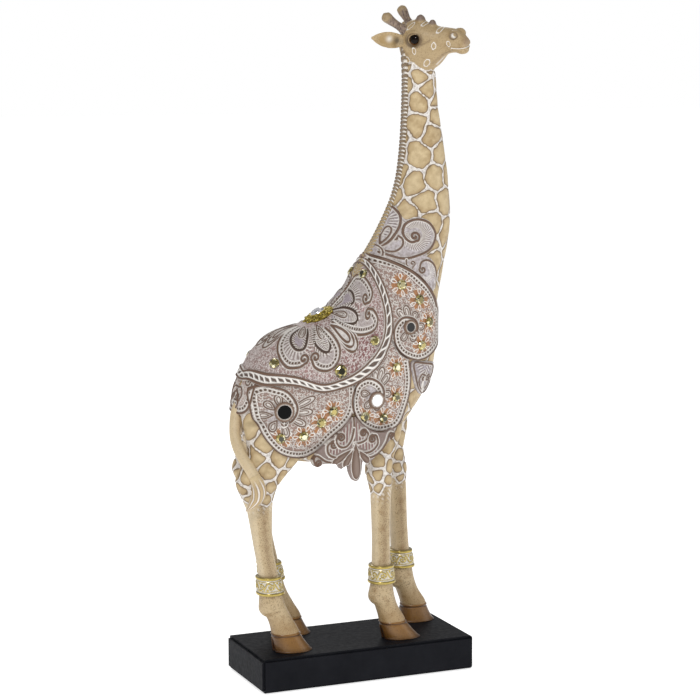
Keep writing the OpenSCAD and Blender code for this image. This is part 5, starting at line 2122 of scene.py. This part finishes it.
def build_eye(side, word, material, resin):
    """Glossy ball with a brown rim, and its lids."""
    centre = EYE * [1, side, 1] + EYE_SHIFT
    out = unit(np.array([0.16, side, 0.02]))
    a = angles(6)
    up = unit(np.array([0, 0, 1.0]) - out * out[2])
    ahead = np.cross(up, out) * side
    b = np.radians(np.linspace(1, 178, EYE_ROWS))
    ring = np.cos(a)[:, None] * ahead + np.sin(a)[:, None] * up
    rings = centre + EYE_SIZE * (np.cos(b)[:, None, None] * out + np.sin(b)[:, None, None] * ring[None])
    points, faces = sided(loft(rings), side)
    low = np.clip(-np.sin(a) * 0.5 + 0.5, 0, 1)[None] * np.ones((EYE_ROWS, 1))
    tone = np.clip(np.sin(b)[:, None] * (0.55 + 0.45 * low), 0, 1)
    build_piece(f"eye_{word}_ball", (on_head(points), faces), material, "eye_gloss", [f"eye_{word}"],
                tone=np.r_[tone.ravel(), 0, 0])
    lids = []
    brow = np.radians(np.linspace(10, 170, 40))
    for span, flat, radius, reach, lift in ((a, 0.86, 0.75, 5.2, 1.9), (brow, 0.8, 0.5, 6.6, 0.55)):
        line = np.cos(span)[:, None] * ahead + flat * np.sin(span)[:, None] * up
        taper = radius * (0.55 + 0.45 * np.clip(np.sin(span), 0, 1))
        lids.append(tube(centre + reach * line + out * lift, taper, 8, closed=span is a, across=tuple(out)))
    points, faces = joined(*lids)
    build_piece(f"eyelids_{word}", (on_head(points), faces), resin, "body_resin", None,
                **plain_paint(len(points), linear("7d6444"), 0.5))


def build_head_details():
    """Mane, tail, ears, ossicones and eyes."""
    resin = bpy.data.materials["painted_resin"]
    build_mane()
    build_tail(resin)
    build_ears(resin)
    build_horns()
    glossy = eye_material()
    for side, word in SIDES:
        build_eye(side, word, glossy, resin)


build_head_details()

# ---------------------------------------------------------------- plinth


def plinth_material():
    """Charcoal paint with fine pale flecks."""
    n = Nodes("charcoal_paint")
    fine = n.noise(2.2, 3)
    colour = n.blend(linear("111217"), linear("1a1b20"), n.ramp(n.noise(0.05, 5), (0.3, 0), (0.75, 1)))
    colour = n.blend(colour, linear("3a3a40"), n.over(0.62, 0.8, 0.3, fine))
    n.bump(fine, 0.2, 0.15)
    rough = n.ramp(n.noise(0.3, 3), (0.3, 0.5), (0.7, 0.65))
    return n.surface(base_color=colour, roughness=rough, specular_ior_level=0.08)


def felt_material():
    """Black felt."""
    n = Nodes("black_felt")
    fibre = n.noise(3.0, 6, 0.7)
    n.bump(fibre, 0.6, 0.3)
    return n.surface(base_color=n.blend(linear("17171a"), linear("34343a"), fibre), roughness=0.95,
                     sheen_weight=0.4)


def steel_material():
    """Bare rod steel."""
    n = Nodes("bare_steel")
    brushed = n.ramp(n.noise(2.5, 5), (0.3, 0.28), (0.7, 0.45))
    colour = n.blend(linear("8e9297"), linear("b9bcc0"), n.noise(0.6, 3))
    return n.surface(base_color=colour, metallic=1.0, roughness=brushed)


def paint_node(name, material):
    """Gives a carried-over CAD node its own material."""
    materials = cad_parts[name].data.materials
    materials.clear()
    materials.append(material)


paint_node("plinth", plinth_material())
paint_node("foot_pads", felt_material())
STEEL = steel_material()
for inner in ("hoof_pins", "leg_rods", "neck_rod"):
    paint_node(inner, STEEL)

# ---------------------------------------------------------------- light and camera

CAMERA_TARGET = Vector((7.8, 0, 251.7)) * MM
CAMERA_AZIMUTH, CAMERA_ELEVATION, CAMERA_DISTANCE = -23.2, 8.16, 1.65


def place_camera():
    """Long lens from the right, slightly ahead and above."""
    a, e = math.radians(CAMERA_AZIMUTH), math.radians(CAMERA_ELEVATION)
    back = Vector((math.sin(a) * math.cos(e), -math.cos(a) * math.cos(e), math.sin(e)))
    data = bpy.data.cameras.new("camera")
    data.lens, data.sensor_width = 111, 36
    camera = new_object("camera", data)
    camera.location = CAMERA_TARGET + back * CAMERA_DISTANCE
    camera.rotation_euler = (-back).to_track_quat("-Z", "Y").to_euler()
    data.clip_start, data.clip_end = 0.05, 30
    bpy.context.scene.camera = camera


def area_light(name, place, aim, size, power):
    """Soft round light."""
    data = bpy.data.lights.new(name, "AREA")
    data.shape, data.size, data.energy = "DISK", size, power
    light = new_object(name, data)
    light.location = place
    light.rotation_euler = (Vector(aim) - Vector(place)).to_track_quat("-Z", "Y").to_euler()


def studio():
    """White surroundings, three soft lights and a pale floor."""
    world = bpy.data.worlds.new("studio")
    world.use_nodes = True
    tree = world.node_tree
    background = tree.nodes["Background"]
    background.inputs["Color"].default_value = (1, 1, 1, 1)
    seen = tree.nodes.new("ShaderNodeLightPath").outputs["Is Camera Ray"]
    strength = tree.nodes.new("ShaderNodeMapRange")
    strength.inputs["To Min"].default_value, strength.inputs["To Max"].default_value = 0.33, 1.0
    tree.links.new(seen, strength.inputs["Value"])
    tree.links.new(strength.outputs["Result"], background.inputs["Strength"])
    bpy.context.scene.world = world
    middle = CAMERA_TARGET
    area_light("key", (-0.7, -1.2, 1.5), middle, 0.35, 13)
    area_light("fill", (1.3, -0.8, 0.5), middle, 1.0, 2.5)
    area_light("rim", (0.4, 1.3, 1.2), middle, 0.8, 5)
    floor = bpy.data.meshes.new("floor")
    reach = 12.0
    floor.from_pydata([(-reach, -reach, 0), (reach, -reach, 0), (reach, reach, 0), (-reach, reach, 0)],
                      [], [(0, 1, 2, 3)])
    thing = new_object("floor", floor)
    n = Nodes("floor_paper")
    thing.data.materials.append(n.surface(base_color=(0.85, 0.85, 0.85), roughness=0.8,
                                          emission_color=(1, 1, 1), emission_strength=0.75))
    bpy.context.scene.view_settings.view_transform = "Standard"


place_camera()
studio()
